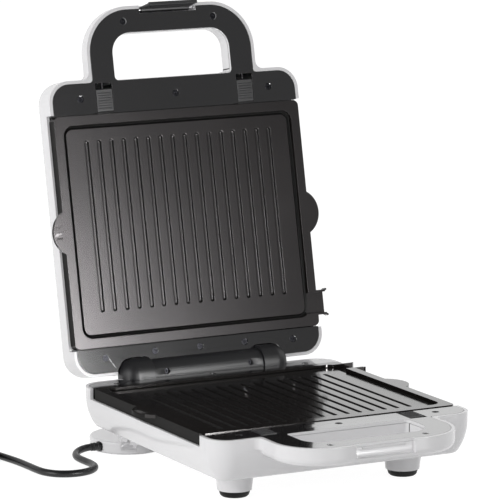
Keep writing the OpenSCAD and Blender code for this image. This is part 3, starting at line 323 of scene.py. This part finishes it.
pin_from, earth_tip, other_tip, sleeve_to, sleeve_t = 19.7, 42.0, 37.5, 28.5, 0.1
pins = piece_of("plug_pins", "base", brass, "bright_steel", *blocks(
    [[(x0, y0, pin_from), (x1, y1, tip)]
     for (x0, y0, x1, y1), tip in ((earth, earth_tip), (live, other_tip), (neutral, other_tip))]))
rounded_edges(pins, 0.0008)
sleeves = piece_of("plug_pin_sleeves", "base", plug_black, "plug_plastic", *blocks(
    [[(x0 - sleeve_t, y0 - sleeve_t, pin_from), (x1 + sleeve_t, y1 + sleeve_t, sleeve_to)]
     for x0, y0, x1, y1 in (live, neutral)]))
rounded_edges(sleeves, 0.0008)


# ---------- base housing ----------
# Glossy white ABS tub with the lower half of the loop handle, moulded in one, satin where light
# rakes over it. Screw posts inside take the black frame.
hinge_y, stand, swing = 238.5, 62.0, math.radians(102)


def drawing(points, body):
    """Metres in the scene to the drawing's millimetres: y from the plates' front edge, z from the
    plane where lid and base meet, below nought inside either. On the lid the swing about the hinge
    and the flip are undone first."""
    x, y, z = points[:, 0] * 1000, (points[:, 1] - middle) * 1000, points[:, 2] * 1000 - stand
    if body == "base":
        return np.stack([x, y, z], 1)
    y = y - hinge_y
    return np.stack([x, hinge_y + y * math.cos(swing) - z * math.sin(swing),
                     -y * math.sin(swing) - z * math.cos(swing)], 1)


def in_place(points, body):
    """The drawing's millimetres back to metres in the scene."""
    x, y, z = points.T
    if body != "base":
        y, z = y - hinge_y, -z
        y, z = (hinge_y + y * math.cos(swing) + z * math.sin(swing),
                -y * math.sin(swing) + z * math.cos(swing))
    return np.stack([x * 0.001, y * 0.001 + middle, (z + stand) * 0.001], 1)


def even_shading(piece):
    """Lets the wide faces lead the shading, so that flats stay flat up to their edges."""
    even = piece.modifiers.new("even_shading", "WEIGHTED_NORMAL")
    even.keep_sharp, even.weight = True, 60


def dressed(node, material, edge=0, corner=32, cuts=(), shape=None, paint=()):
    """The drawn piece as one skin: its triangles are merged, cut along given planes (a point and a
    direction in the drawing's millimetres) and drawn to a finer shape where shape gives one, and flat
    faces are joined. Where edge gives a width, sharp edges are rounded by it, a fraction of a millimetre,
    as a mould leaves them. Faces picked by their middle and direction get the finish that paint pairs
    with them."""
    drawn = frame["nodes"][node]
    body = drawn["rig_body"]
    mesh = drawn.data.copy()
    work = bmesh.new()
    work.from_mesh(mesh)
    bmesh.ops.remove_doubles(work, verts=work.verts, dist=3e-6)
    for point, across in cuts:
        ends = in_place(np.array([point, np.add(point, across)], float), body)
        bmesh.ops.bisect_plane(work, geom=[*work.verts, *work.edges, *work.faces], dist=1e-6,
                               plane_co=ends[0], plane_no=ends[1] - ends[0])
    if shape:
        at = in_place(shape(drawing(np.array([v.co for v in work.verts]), body)), body)
        for vertex, place in zip(work.verts, at):
            vertex.co = place
        bmesh.ops.dissolve_degenerate(work, edges=work.edges, dist=3e-6)
    bmesh.ops.dissolve_limit(work, angle_limit=math.radians(0.5), verts=work.verts, edges=work.edges)
    work.to_mesh(mesh)
    work.free()
    mesh.materials.clear()
    mesh.materials.append(material)
    middles = np.array([face.center for face in mesh.polygons])
    ways = drawing(middles + 0.001 * np.array([face.normal for face in mesh.polygons]), body)
    middles = drawing(middles, body)
    chosen = np.zeros(len(middles), np.int32)
    for number, (other, picks) in enumerate(paint, 1):
        mesh.materials.append(other)
        chosen[picks(middles, ways - middles)] = number
    mesh.polygons.foreach_set("material_index", chosen)
    mesh.shade_smooth()
    mesh.set_sharp_from_angle(angle=math.radians(corner))
    piece = bpy.data.objects.new(node + "_skin", mesh)
    bpy.context.scene.collection.objects.link(piece)
    if edge:
        rounded_edges(piece, edge, 2, corner).modifiers[0].use_clamp_overlap = False
    even_shading(piece)
    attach(piece, body)
    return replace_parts(piece, node)


white = finish("white_plastic", (0.856, 0.85, 0.862), 0.24, mottle=0.012, spread=0.06, grain=420,
               depth=3e-6, coat_weight=0.35, coat_roughness=0.08)
satin_black = finish("satin_black", (0.014, 0.014, 0.016), 0.42, mottle=0.2, grain=900, depth=8e-6)
body_x, body_front, rear_y, body_r, depth, tight = 127.0, 31.8, 236.3, 20.0, 38.0, 14.0
belly_from, belly_r, belly_edge = 9.0, 48.0, 5.0
wall_t, still = 4.0, 14.0    # all of the shift reaches this far under the skin, and none this far
latch_x, well_half = 71.8, 13.0


def smooth_step(t):
    """Nought to one with a level start and end: t squared times three less twice t."""
    return t * t * (3 - 2 * t)


def bellied(p):
    """The tub's upright walls drawn in on a wide curve. A point's place is taken as its way s down
    the drawn section (wall, quarter round of 14, floor) and its depth n under that skin. It is put
    at the same depth under the new section (wall, arc of 48, arc of 5, floor), less so further in."""
    out = p[:, 1] - (rear_y - body_front) / 2
    qx = np.abs(p[:, 0]) - (body_x - body_r)
    qy = np.abs(out) - ((rear_y + body_front) / 2 - body_r)
    corner_x, corner_y = np.maximum(qx, 0), np.maximum(qy, 0)
    reach = np.hypot(corner_x, corner_y)
    inset = body_r - np.where(reach > 0, reach, np.maximum(qx, qy))
    side = (qx >= qy) & (reach == 0)
    out_x = np.where(reach > 0, corner_x / np.maximum(reach, 1e-9), side) * np.sign(p[:, 0])
    out_y = np.where(reach > 0, corner_y / np.maximum(reach, 1e-9), ~side) * np.sign(out)

    d = -p[:, 2]
    below = np.maximum(d - (depth - tight), 0)
    turn = np.arctan2(below, np.maximum(tight - inset, 1e-9))
    on_wall = d <= depth - tight
    on_floor_part = (inset >= tight) & ~on_wall
    s = np.where(on_wall, d, depth - tight + tight * turn)
    n = np.where(on_wall, inset, tight - np.hypot(below, tight - inset))
    s = np.where(on_floor_part, depth - tight + tight * math.pi / 2 + inset - tight, s)
    n = np.where(on_floor_part, depth - d, n)

    down = depth - belly_edge - belly_from
    along = math.sqrt((belly_r - belly_edge) ** 2 - down ** 2)
    meet = math.atan2(down, along)
    wide, small = belly_r * meet, belly_edge * (math.pi / 2 - meet)
    foot = belly_from + wide + small    # the way down to where the new floor starts
    # Past a way of 20 the skin is spread evenly, so that a floor point 30 in from the wall stays put.
    s = np.interp(s, [0, 20, depth + 24], [0, 20, foot + 30 - (belly_r - along)])
    theta = np.clip((s - belly_from) / belly_r, 0, meet)
    theta = theta + np.clip((s - belly_from - wide) / belly_edge, 0, math.pi / 2 - meet)
    in_wide = theta <= meet
    new_inset = np.where(in_wide, belly_r - belly_r * np.cos(theta),
                         belly_r - along - belly_edge * np.cos(theta))
    new_d = np.where(in_wide, belly_from + belly_r * np.sin(theta),
                     depth - belly_edge + belly_edge * np.sin(theta))
    new_d = np.where(s < belly_from, s, new_d) - n * np.sin(theta)
    new_inset = new_inset + np.maximum(s - foot, 0) + n * np.cos(theta)

    share = 1 - smooth_step(np.clip((n - wall_t) / (still - wall_t), 0, 1))
    share = share * (inset > -0.05) * (s < foot + 17) * (d > belly_from)
    shift = (inset - new_inset) * share
    return p + np.stack([out_x * shift, out_y * shift, -(new_d - d) * share], 1)


def painted_shade_in_latch_wells(middles, ways):
    """Painted shade: the wells in the white housing under the latches' slots, given satin black."""
    x, y, z = middles.T
    near = (abs(abs(x) - latch_x) < well_half) & (y > -36) & (z < -3.4)
    return near & ((y < -1) & (z > -15.5) | (y < -4) & (ways[:, 2] > 0.6))


belly_rings = [11.5, 14, 16.5, 19, 21.5, 24, 35.8, 36.3, 36.8, 37.2, 37.5, 37.75, 37.9]
# The white wells under the latches' slots are painted satin black as shade.
dressed("base_shell", white, cuts=[((0, 0, -d), (0, 0, 1)) for d in belly_rings],
        shape=bellied, paint=[(satin_black, painted_shade_in_latch_wells)])


# ---------- feet ----------
# White cones snapped under the front with black rubber pads in them, and at the rear two round
# white flanges on necks, each held by one screw, that the cord can be wound behind.
foot_x, foot_y, pad_r, rim_z, lip = 83.0, 19.0, 14.0, -53.9, 2.2


def lipped(p):
    """The cones' lower rims brought down round the pads."""
    rim = (p[:, 2] < rim_z) & (np.hypot(abs(p[:, 0]) - foot_x, p[:, 1] - foot_y) > pad_r)
    return p + np.stack([0 * p[:, 0], 0 * p[:, 1], -lip * rim], 1)


pad_black = finish("pad_rubber", (0.004, 0.004, 0.004), 0.55, mottle=0.2, grain=1100, depth=2e-5,
                   specular_ior_level=0.2)
zinc = finish("bright_steel", (0.62, 0.62, 0.63), 0.3, grain=2200, depth=5e-6, metallic=1.0)
dressed("front_feet", white, shape=lipped)
dressed("rear_foot_left", white)
dressed("rear_foot_right", white)
dressed("foot_pads", pad_black, 0.0004)
dressed("rear_foot_screws", zinc)


# ---------- wiring in the base ----------
# Glazed ceramic terminal block on the floor of the base, with the cord's inner end going in and a
# sleeved lead going up to the hollow hinge bush.
ceramic = finish("terminal_ceramic", (0.82, 0.79, 0.71), 0.3, mottle=0.1, grain=800, depth=1e-5,
                 coat_weight=0.6)
sleeving = finish("sleeve", (0.62, 0.59, 0.5), 0.85, mottle=0.2, grain=2400, depth=6e-5)
dressed("terminal_block", ceramic, 0.0003)
dressed("inner_cord", cord_black)
dressed("base_lead", sleeving)


# ---------- lower heater ----------
# Sheathed tubular element bent to a loop, dark from heat, clipped by four saddles to a pressed
# aluminium tray that throws its heat up at the plate.
sheath = finish("element_steel", (0.3, 0.27, 0.25), 0.46, mottle=0.5, spread=0.3, grain=1400,
                depth=1e-5, metallic=1.0)
tray = finish("tray_metal", (0.76, 0.76, 0.77), 0.33, mottle=0.1, spread=0.2, grain=1900,
              depth=6e-6, metallic=1.0)
dressed("lower_heater", sheath)
dressed("lower_heater_clips", zinc)
dressed("lower_reflector", tray)


# ---------- base frame ----------
# Glossy black panel round the plate's seat, with the top of the handle and the two hinge posts,
# held down by eight blackened cross-head screws.
gloss_black = finish("black_plastic", (0.0052, 0.0048, 0.0062), 0.13, mottle=0.2, spread=0.05,
                     grain=300, depth=2e-6, ior=1.65, coat_weight=1.0, coat_ior=1.65, coat_roughness=0.05)
dark_steel = finish("dark_steel", (0.022, 0.022, 0.025), 0.3, mottle=0.3, grain=2400, depth=6e-6,
                    metallic=1.0)
post_x, post_r, post_l, drawn_l, dome, drawn_round = 55.9, 16.0, 28.0, 22.0, 14.0, 6.0
straight = 8.0    # this much of a post, from its inner end, keeps its drawn place


def dome_reach(x):
    """How far a post's skin stands off the hinge axis, at x from its inner end: a cylinder that ends
    in a quarter round."""
    return post_r - dome + np.sqrt(np.maximum(dome ** 2 - np.maximum(x - post_l + dome, 0) ** 2, 0))


def domed(p):
    """The posts' ends, drawn short with a round of 6, drawn out to a round of 14: the outer part is
    stretched along the hinge, and its distance from the axis follows the new round."""
    x = np.abs(p[:, 0]) - post_x
    y = p[:, 1] - hinge_y
    into_round = np.clip(x - drawn_l + drawn_round, 0, drawn_round)
    drawn_reach = post_r - drawn_round + np.sqrt(np.maximum(drawn_round ** 2 - into_round ** 2, 0))
    picked = (x > straight) & (x < drawn_l + 0.1) & (np.hypot(y, p[:, 2]) < post_r + 0.1)
    longer = np.where(picked, np.interp(x, [straight, drawn_l], [straight, post_l]), x)
    share = np.where(picked, dome_reach(longer) / drawn_reach, 1)
    return np.stack([p[:, 0] + np.sign(p[:, 0]) * (longer - x), hinge_y + y * share, p[:, 2] * share], 1)


def skin_of_opening(middles, ways):
    """The upright faces round the finger opening and over the clip's recess."""
    x, y, z = middles.T
    return (abs(ways[:, 2]) < 0.3) & (y < -28) & (y > -94) & (abs(x) < 60.5) & (z > -4.5)


def skin_of_posts(middles, ways):
    """The hinge posts, which are left satin by the mould."""
    x, y, z = middles.T
    along = (abs(x) > post_x - 0.5) & (abs(x) < post_x + post_l + 0.1)
    return along & (np.hypot(y - hinge_y, z) < post_r + 0.3)


def both_sides(distances):
    """Cuts square to the hinge at these distances from the posts' inner ends."""
    return [((s * (post_x + d), 0, 0), (1, 0, 0)) for d in distances for s in (-1, 1)]


dressed("base_frame", gloss_black, shape=domed,
        cuts=both_sides([straight, 10.5, 12, 13.2, 14.2, 15.2]),
        paint=[(white, skin_of_opening), (satin_black, skin_of_posts)])
dressed("base_frame_screws", dark_steel)


# ---------- base latches ----------
# Two ribbed black buttons, moulded in satin plastic, that slide in the frame's slots and hold the lower
# plate by its front edge. A sleeve behind each stands for its spring, painted satin black as shade so
# that the slot over it reads dark.
dressed("base_latch_left", satin_black, 0.0002)
dressed("base_latch_right", satin_black, 0.0002)
dressed("base_latch_springs", satin_black)


# ---------- lower plate ----------
# Die-cast aluminium plate with sixteen grooves, a drip channel and a spout, sprayed with a
# glossy dark brown non-stick coat that lies thin and dull on steep walls.
non_stick = finish("non_stick", (0.0075, 0.0062, 0.0056), 0.15, mottle=0.25, spread=0.06, grain=1600,
                   depth=4e-6, coat_weight=0.4, coat_roughness=0.07, specular_tint=(1, 0.96, 0.95, 1))
plate_side = finish("non_stick_thin", (0.006, 0.0055, 0.005), 0.6, mottle=0.3, grain=1600, depth=8e-6,
                    specular_ior_level=0.2)
plate_w, plate_d, face_z, tray_z = 250.0, 210.0, -3.3, -5.25
rim_w, channel_w, channel_t, seat_z, face_gap = 8.5, 3.6, 1.75, face_z - 1.9, 0.03
groove_x = (np.arange(16) - 7.5) * 12.4
groove_from, groove_l, groove_w, groove_t = 23.0, 155.5, 4.2, 1.6
groove_edge, groove_slope = 2.15, 1.25
land_x, land_front, land_rear, steep = 102.0, 21.5, 188.5, 0.12
spout_y, spout_half = 189.0, 9.6


def land():
    """The middle of the cooking face as heights over a grid whose lines lie close where it bends:
    a groove's depth is the smooth step of how far a point lies inside the groove's edge, by its
    distance from the groove's middle line, which rounds the ends."""
    across = np.array([0, 0.7, 0.9, 1.1, 1.4, 1.7, 1.9, 2.05, 2.2])
    across = np.r_[-across[:0:-1], across]
    ends = np.array([-0.1, 0.05, 0.2, 0.4, 0.7, 1.0, 1.4, 1.8, 2.3, 3])
    near = np.array([0, 0.5, 1.2, 2.1, 3.2, 4.6])
    xs = np.r_[near - land_x, (groove_x[:, None] + across).ravel(), land_x - near]
    ys = np.r_[land_front + near[:3], groove_from + ends, 60, 100, 140,
               groove_from + groove_l - ends, 179.6, 181, land_rear - near]
    x, y = np.meshgrid(np.unique(np.round(xs, 4)), np.unique(np.round(ys, 4)), indexing="ij")
    past_end = np.maximum(abs(y - groove_from - groove_l / 2) - (groove_l - groove_w) / 2, 0)
    gap = np.hypot(np.min(np.abs(x[..., None] - groove_x), -1), past_end)
    inside = np.clip((groove_edge - gap) / groove_slope, 0, 1)
    return np.stack([x, y, face_z - groove_t * smooth_step(inside)], -1)


def channel(rim, inwards):
    """Rings of points from the land's edge to the plate's rim, each a rounded rectangle so far
    inwards of it. The points keep their share of the way round: each is scaled to the ring's
    size, and in the corners put at the corner's radius. The depth makes a V over the channel's
    width with a flat foot, and the channel is open at the spout."""
    middle_of = np.array([0, plate_d / 2])
    outer = np.array([plate_w / 2 - rim_w - face_gap, plate_d / 2 - rim_w - face_gap])
    inner = np.array([land_x, (land_rear - land_front) / 2])
    rows = []
    for u in inwards:
        half, r = outer - u, max(10 - u, 0.4) if u < 5 else 8
        start = (rim[:, :2] - middle_of) * (half / inner)
        spine = np.clip(start, -(half - r), half - r)
        off = start - spine
        far = np.linalg.norm(off, axis=1, keepdims=True)
        ring = spine + off * np.where(far > 0, r / np.maximum(far, 1e-9), 1) + middle_of
        sunk_by = min(1.15 * max(1 - abs(u - channel_w / 2) / (channel_w / 2), 0), 1)
        mouth = np.clip((spout_half - abs(ring[:, 1] - spout_y)) / 1.2, 0, 1)
        mouth = mouth * (ring[:, 0] > 0) * (u < channel_w / 2)
        rows.append(np.c_[ring, face_z - channel_t * np.maximum(sunk_by, mouth)])
    return np.array(rows)


def plate_face(name, body, material):
    """The cooking face as one closed piece: the land's grid, the rings round it, the same points
    laid flat underneath, and a wall between the two. The channel is dull, and so is a face of the
    grid whose corners differ in height by more than steep."""
    grid = land()
    nx, ny = grid.shape[:2]
    edge = np.r_[[(i, 0) for i in range(nx)], [(nx - 1, j) for j in range(1, ny)],
                 [(i, ny - 1) for i in range(nx - 2, -1, -1)], [(0, j) for j in range(ny - 2, 0, -1)]]
    inwards = [10, 7, 5, 3.75, channel_w, 3.45, 3.2, 2.8, 2.3, 1.8, 1.3, 0.8, 0.4, 0.15, 0]
    rings = channel(grid[edge[:, 0], edge[:, 1]], inwards)
    top = np.vstack([grid.reshape(-1, 3), rings.reshape(-1, 3)])
    base = top * [1, 1, 0] + [0, 0, tray_z]
    count, n = len(top), len(edge)
    i, j = np.meshgrid(np.arange(nx - 1), np.arange(ny - 1), indexing="ij")
    quads = np.stack([i * ny + j, (i + 1) * ny + j, (i + 1) * ny + j + 1, i * ny + j + 1], -1)
    quads = quads.reshape(-1, 4)
    first = edge[:, 0] * ny + edge[:, 1]
    index = np.vstack([first, nx * ny + np.arange(len(rings) * n).reshape(len(rings), n)])
    nexts = np.roll(index, -1, axis=1)
    belts = np.stack([index[:-1], index[1:], nexts[1:], nexts[:-1]], -1).reshape(-1, 4)
    wall = np.stack([index[-1], index[-1] + count, nexts[-1] + count, nexts[-1]], -1)
    upper = np.vstack([quads, belts])
    faces = np.vstack([upper, upper[:, ::-1] + count, wall])
    if body != "base":
        faces = faces[:, ::-1]
    face = piece_of(name, body, material, "non_stick", in_place(np.vstack([top, base]), body),
                    faces.tolist(), crease=50)
    even_shading(face)
    face.data.materials.append(plate_side)
    dull = np.zeros(len(face.data.polygons), np.int32)
    dull[:len(quads)] = np.ptp(top[quads, 2], axis=1) > steep
    dull[len(quads) + (1 + inwards.index(channel_w)) * n:len(upper)] = 1
    face.data.polygons.foreach_set("material_index", dull)


def sunk(p):
    """The drawn cooking face, with its grooves and channel, let down to a flat seat for the face
    that is laid in it."""
    inside = ((abs(p[:, 0]) < plate_w / 2 - rim_w + 0.05)
              & (abs(p[:, 1] - plate_d / 2) < plate_d / 2 - rim_w + 0.05)
              & (p[:, 2] > face_z - 1.85) & (p[:, 2] < face_z + 0.1))
    return np.where(inside[:, None] * np.array([False, False, True]), seat_z, p)


def skin_of_sides(middles, ways):
    """The plate's upright outer sides, which the spray leaves thin and dull."""
    return (abs(middles[:, 0]) > plate_w / 2 - 0.3) & (abs(ways[:, 0]) > 0.8)


dressed("lower_plate", non_stick, shape=sunk, paint=[(plate_side, skin_of_sides)])
plate_face("lower_plate_face", "base", non_stick)


# ---------- hinge ----------
# Black barrel on the lid that turns between the base's posts, on a hollow steel bush at the left
# and a solid pin at the right.
dressed("hinge_barrel", satin_black)
dressed("hinge_bush", zinc)
dressed("hinge_pin", zinc)
dressed("barrel_screws", dark_steel)


# ---------- lid housing ----------
# The same glossy white ABS as the base, moulded in one with the upper half of the handle, with a
# bay cut out of its rear edge round each hinge post.
bay_gap, end_gap, bay_leaf = 0.8, 1.2, 5.45


def notched(p):
    """The bays round the hinge posts, drawn square, closed in to follow the posts' round ends: the
    round part is stretched along the hinge, and its edge is put bay_gap off the post's skin."""
    x = np.abs(p[:, 0]) - post_x
    y = p[:, 1] - hinge_y
    bay_r, off = post_r + bay_gap, np.hypot(y, p[:, 2])
    drawn_end, new_end = drawn_l + end_gap, post_l + end_gap
    round_it = (x > straight) & (x < drawn_end + 0.2) & (abs(off - bay_r) < 0.15)
    end_wall = (abs(x - drawn_end) < 0.05) & (off < bay_r)
    stretched = np.interp(x, [straight, drawn_end], [straight, new_end])
    longer = np.where(round_it | end_wall, stretched, x)
    reach = np.maximum(dome_reach(np.minimum(longer - bay_gap, post_l)) + bay_gap, bay_leaf)
    closer = np.where(round_it, y * np.minimum(reach / bay_r, 1), y)
    closer = np.where(end_wall, np.clip(y, -bay_leaf, bay_leaf), closer)
    return np.stack([p[:, 0] + np.sign(p[:, 0]) * (longer - x), hinge_y + closer, p[:, 2]], 1)


bay_cuts = both_sides([straight, 12, 13.5, 15, 16.5, 17.8, 19, 20, 20.8, 21.5, 22, 22.4, 22.7, 22.95])
# As on the base, the white wells under the latches' slots are painted satin black as shade.
dressed("lid_shell", white, cuts=bay_cuts, shape=notched,
        paint=[(satin_black, painted_shade_in_latch_wells)])


# ---------- lid heater and wiring ----------
# The upper element and its tray, the same as the lower ones, with a ceramic thermostat and thermal
# fuse clipped beside them and the sleeved lead that comes in through the hinge.
dressed("upper_heater", sheath)
dressed("upper_heater_clips", zinc)
dressed("upper_reflector", tray)
dressed("thermostat", ceramic, 0.0003)
dressed("thermal_fuse", ceramic)
dressed("lid_lead", sleeving)


# ---------- indicator lamps ----------
# Two red domed lenses of clear plastic pressed into the lid's top near the handle, with neon lamps
# on a small board behind.
lens_red = finish("lens_red", (0.55, 0.03, 0.02), 0.12, grain=500, depth=2e-6,
                  transmission_weight=0.35, coat_weight=0.5)
board = finish("board", (0.46, 0.36, 0.17), 0.5, mottle=0.15, grain=1800, depth=2e-5)
dressed("indicator_lenses", lens_red)
dressed("lamp_holder", board, 0.0002)


# ---------- lid frame ----------
# Glossy black panel round the upper plate's seat, with the handle's inner face, held to the
# housing by ten screws. Two latches like the base's slide in it.
dressed("lid_frame", gloss_black, cuts=bay_cuts, shape=notched,
        paint=[(white, skin_of_opening)])
dressed("lid_frame_screws", dark_steel)
dressed("lid_latch_left", satin_black, 0.0002)
dressed("lid_latch_right", satin_black, 0.0002)
# The springs' sleeves are painted satin black as shade, as in the base.
dressed("lid_latch_springs", satin_black)


# ---------- upper plate ----------
# The lower plate's twin in die-cast aluminium, held face down in the lid by its two latches. Its
# non-stick coat is a little more satin.
satin_coat = finish("non_stick_satin", (0.0075, 0.0062, 0.0056), 0.25, mottle=0.25, spread=0.06,
                    grain=1600, depth=4e-6, coat_weight=0.15, coat_roughness=0.2,
                    specular_tint=(1, 0.95, 0.97, 1))
dressed("upper_plate", satin_coat, shape=sunk, paint=[(plate_side, skin_of_sides)])
plate_face("upper_plate_face", "lid", satin_coat)


# ---------- closing clip ----------
# Black satin plastic catch on the lid's handle, turning on a steel pin. It hooks under the base's
# handle when the lid is shut.
dressed("closing_clip", satin_black, 0.0002)
dressed("clip_pin", zinc)


# ---------- floor and light ----------
# White worktop that keeps the shadow, white surroundings that darken towards the viewer and
# overhead in reflections, and four soft lamps.
def show(tree, surface):
    """Links a shader to the tree's output."""
    output = next(node for node in tree.nodes if node.type.startswith("OUTPUT"))
    tree.links.new(surface, output.inputs["Surface"])


def seen_or_mirrored(tree):
    """The Light Path's outputs, and one where a ray comes from the camera, gloss or glass."""
    ray = add(tree, "LightPath").outputs
    seen = add(tree, "Math", {0: ray["Is Camera Ray"], 1: ray["Is Glossy Ray"]}, operation="MAXIMUM")
    seen = add(tree, "Math", {0: seen.outputs[0], 1: ray["Is Transmission Ray"]}, operation="MAXIMUM")
    return ray, seen.outputs[0]


def fade(tree, value, start, end, first, last):
    """A value that runs smoothly from first at start to last at end."""
    return add(tree, "MapRange", {0: value, 1: start, 2: end, 3: first, 4: last},
               interpolation_type="SMOOTHSTEP").outputs[0]


floor_white = bpy.data.materials.new("floor_white")
floor_white.use_nodes = True
tree = floor_white.node_tree
lit = add(tree, "BsdfDiffuse", {"Color": (0.85, 0.85, 0.85, 1)}).outputs[0]
glow = add(tree, "Emission", {"Strength": 1.25}).outputs[0]
ray, seen = seen_or_mirrored(tree)
share = add(tree, "Math", {0: seen, 1: 0.76}, operation="MULTIPLY").outputs[0]
show(tree, add(tree, "MixShader", {0: share, 1: lit, 2: glow}).outputs[0])
mesh = bpy.data.meshes.new("floor")
mesh.from_pydata([(-7, -7, 0), (7, -7, 0), (7, 9, 0), (-7, 9, 0)], [], [(0, 1, 2, 3)])
mesh.materials.append(floor_white)
floor = bpy.data.objects.new("floor", mesh)
bpy.context.scene.collection.objects.link(floor)

world = bpy.data.worlds.new("surroundings")
world.use_nodes = True
bpy.context.scene.world = world
tree = world.node_tree
tree.nodes.clear()
tree.nodes.new("ShaderNodeOutputWorld")
ray, seen = seen_or_mirrored(tree)
to = add(tree, "SeparateXYZ", {0: add(tree, "TexCoord").outputs["Generated"]}).outputs
rear = fade(tree, to["Y"], -0.55, 0.35, 0.24, 1.0)
low = fade(tree, to["Z"], 0.25, 0.75, 1.0, 0.35)
around = add(tree, "Math", {0: rear, 1: low}, operation="MULTIPLY").outputs[0]
shown = add(tree, "Math", {0: ray["Is Camera Ray"], 1: around}, operation="MAXIMUM").outputs[0]
soft = add(tree, "Background", {"Color": (1, 1, 1, 1), "Strength": 0.54}).outputs[0]
clear = add(tree, "Background", {"Color": (1, 1, 1, 1), "Strength": shown}).outputs[0]
show(tree, add(tree, "MixShader", {0: seen, 1: soft, 2: clear}).outputs[0])


def lamp(name, at, towards, size, watts, lights=True, tall=None):
    """A soft lamp that faces a point. It is square unless tall gives its height, and one that
    doesn't light shows only in gloss."""
    light = bpy.data.lights.new(name, "AREA")
    light.size, light.energy = size, watts
    if tall:
        light.shape, light.size_y = "RECTANGLE", tall
    made = bpy.data.objects.new(name, light)
    made.visible_diffuse = lights
    made.matrix_world = facing(at, np.array(at, float) - towards)
    bpy.context.scene.collection.objects.link(made)


lamp("lamp_left", (-2.8, -0.6, 0.85), (0, 0, 0.1), 1.6, 33)
lamp("lamp_right", (2.6, -0.3, 1.6), (0, 0, 0.1), 1.4, 7)
lamp("lamp_front", (0.19, -0.95, 0.26), (-0.1, 0.1, 0.15), 0.2, 9, lights=False, tall=0.44)
lamp("lamp_low", (0.22, -0.95, 0.2), (-0.1, 0.1, 0.12), 0.2, 6, lights=False)
bpy.context.scene.view_settings.view_transform = "Standard"
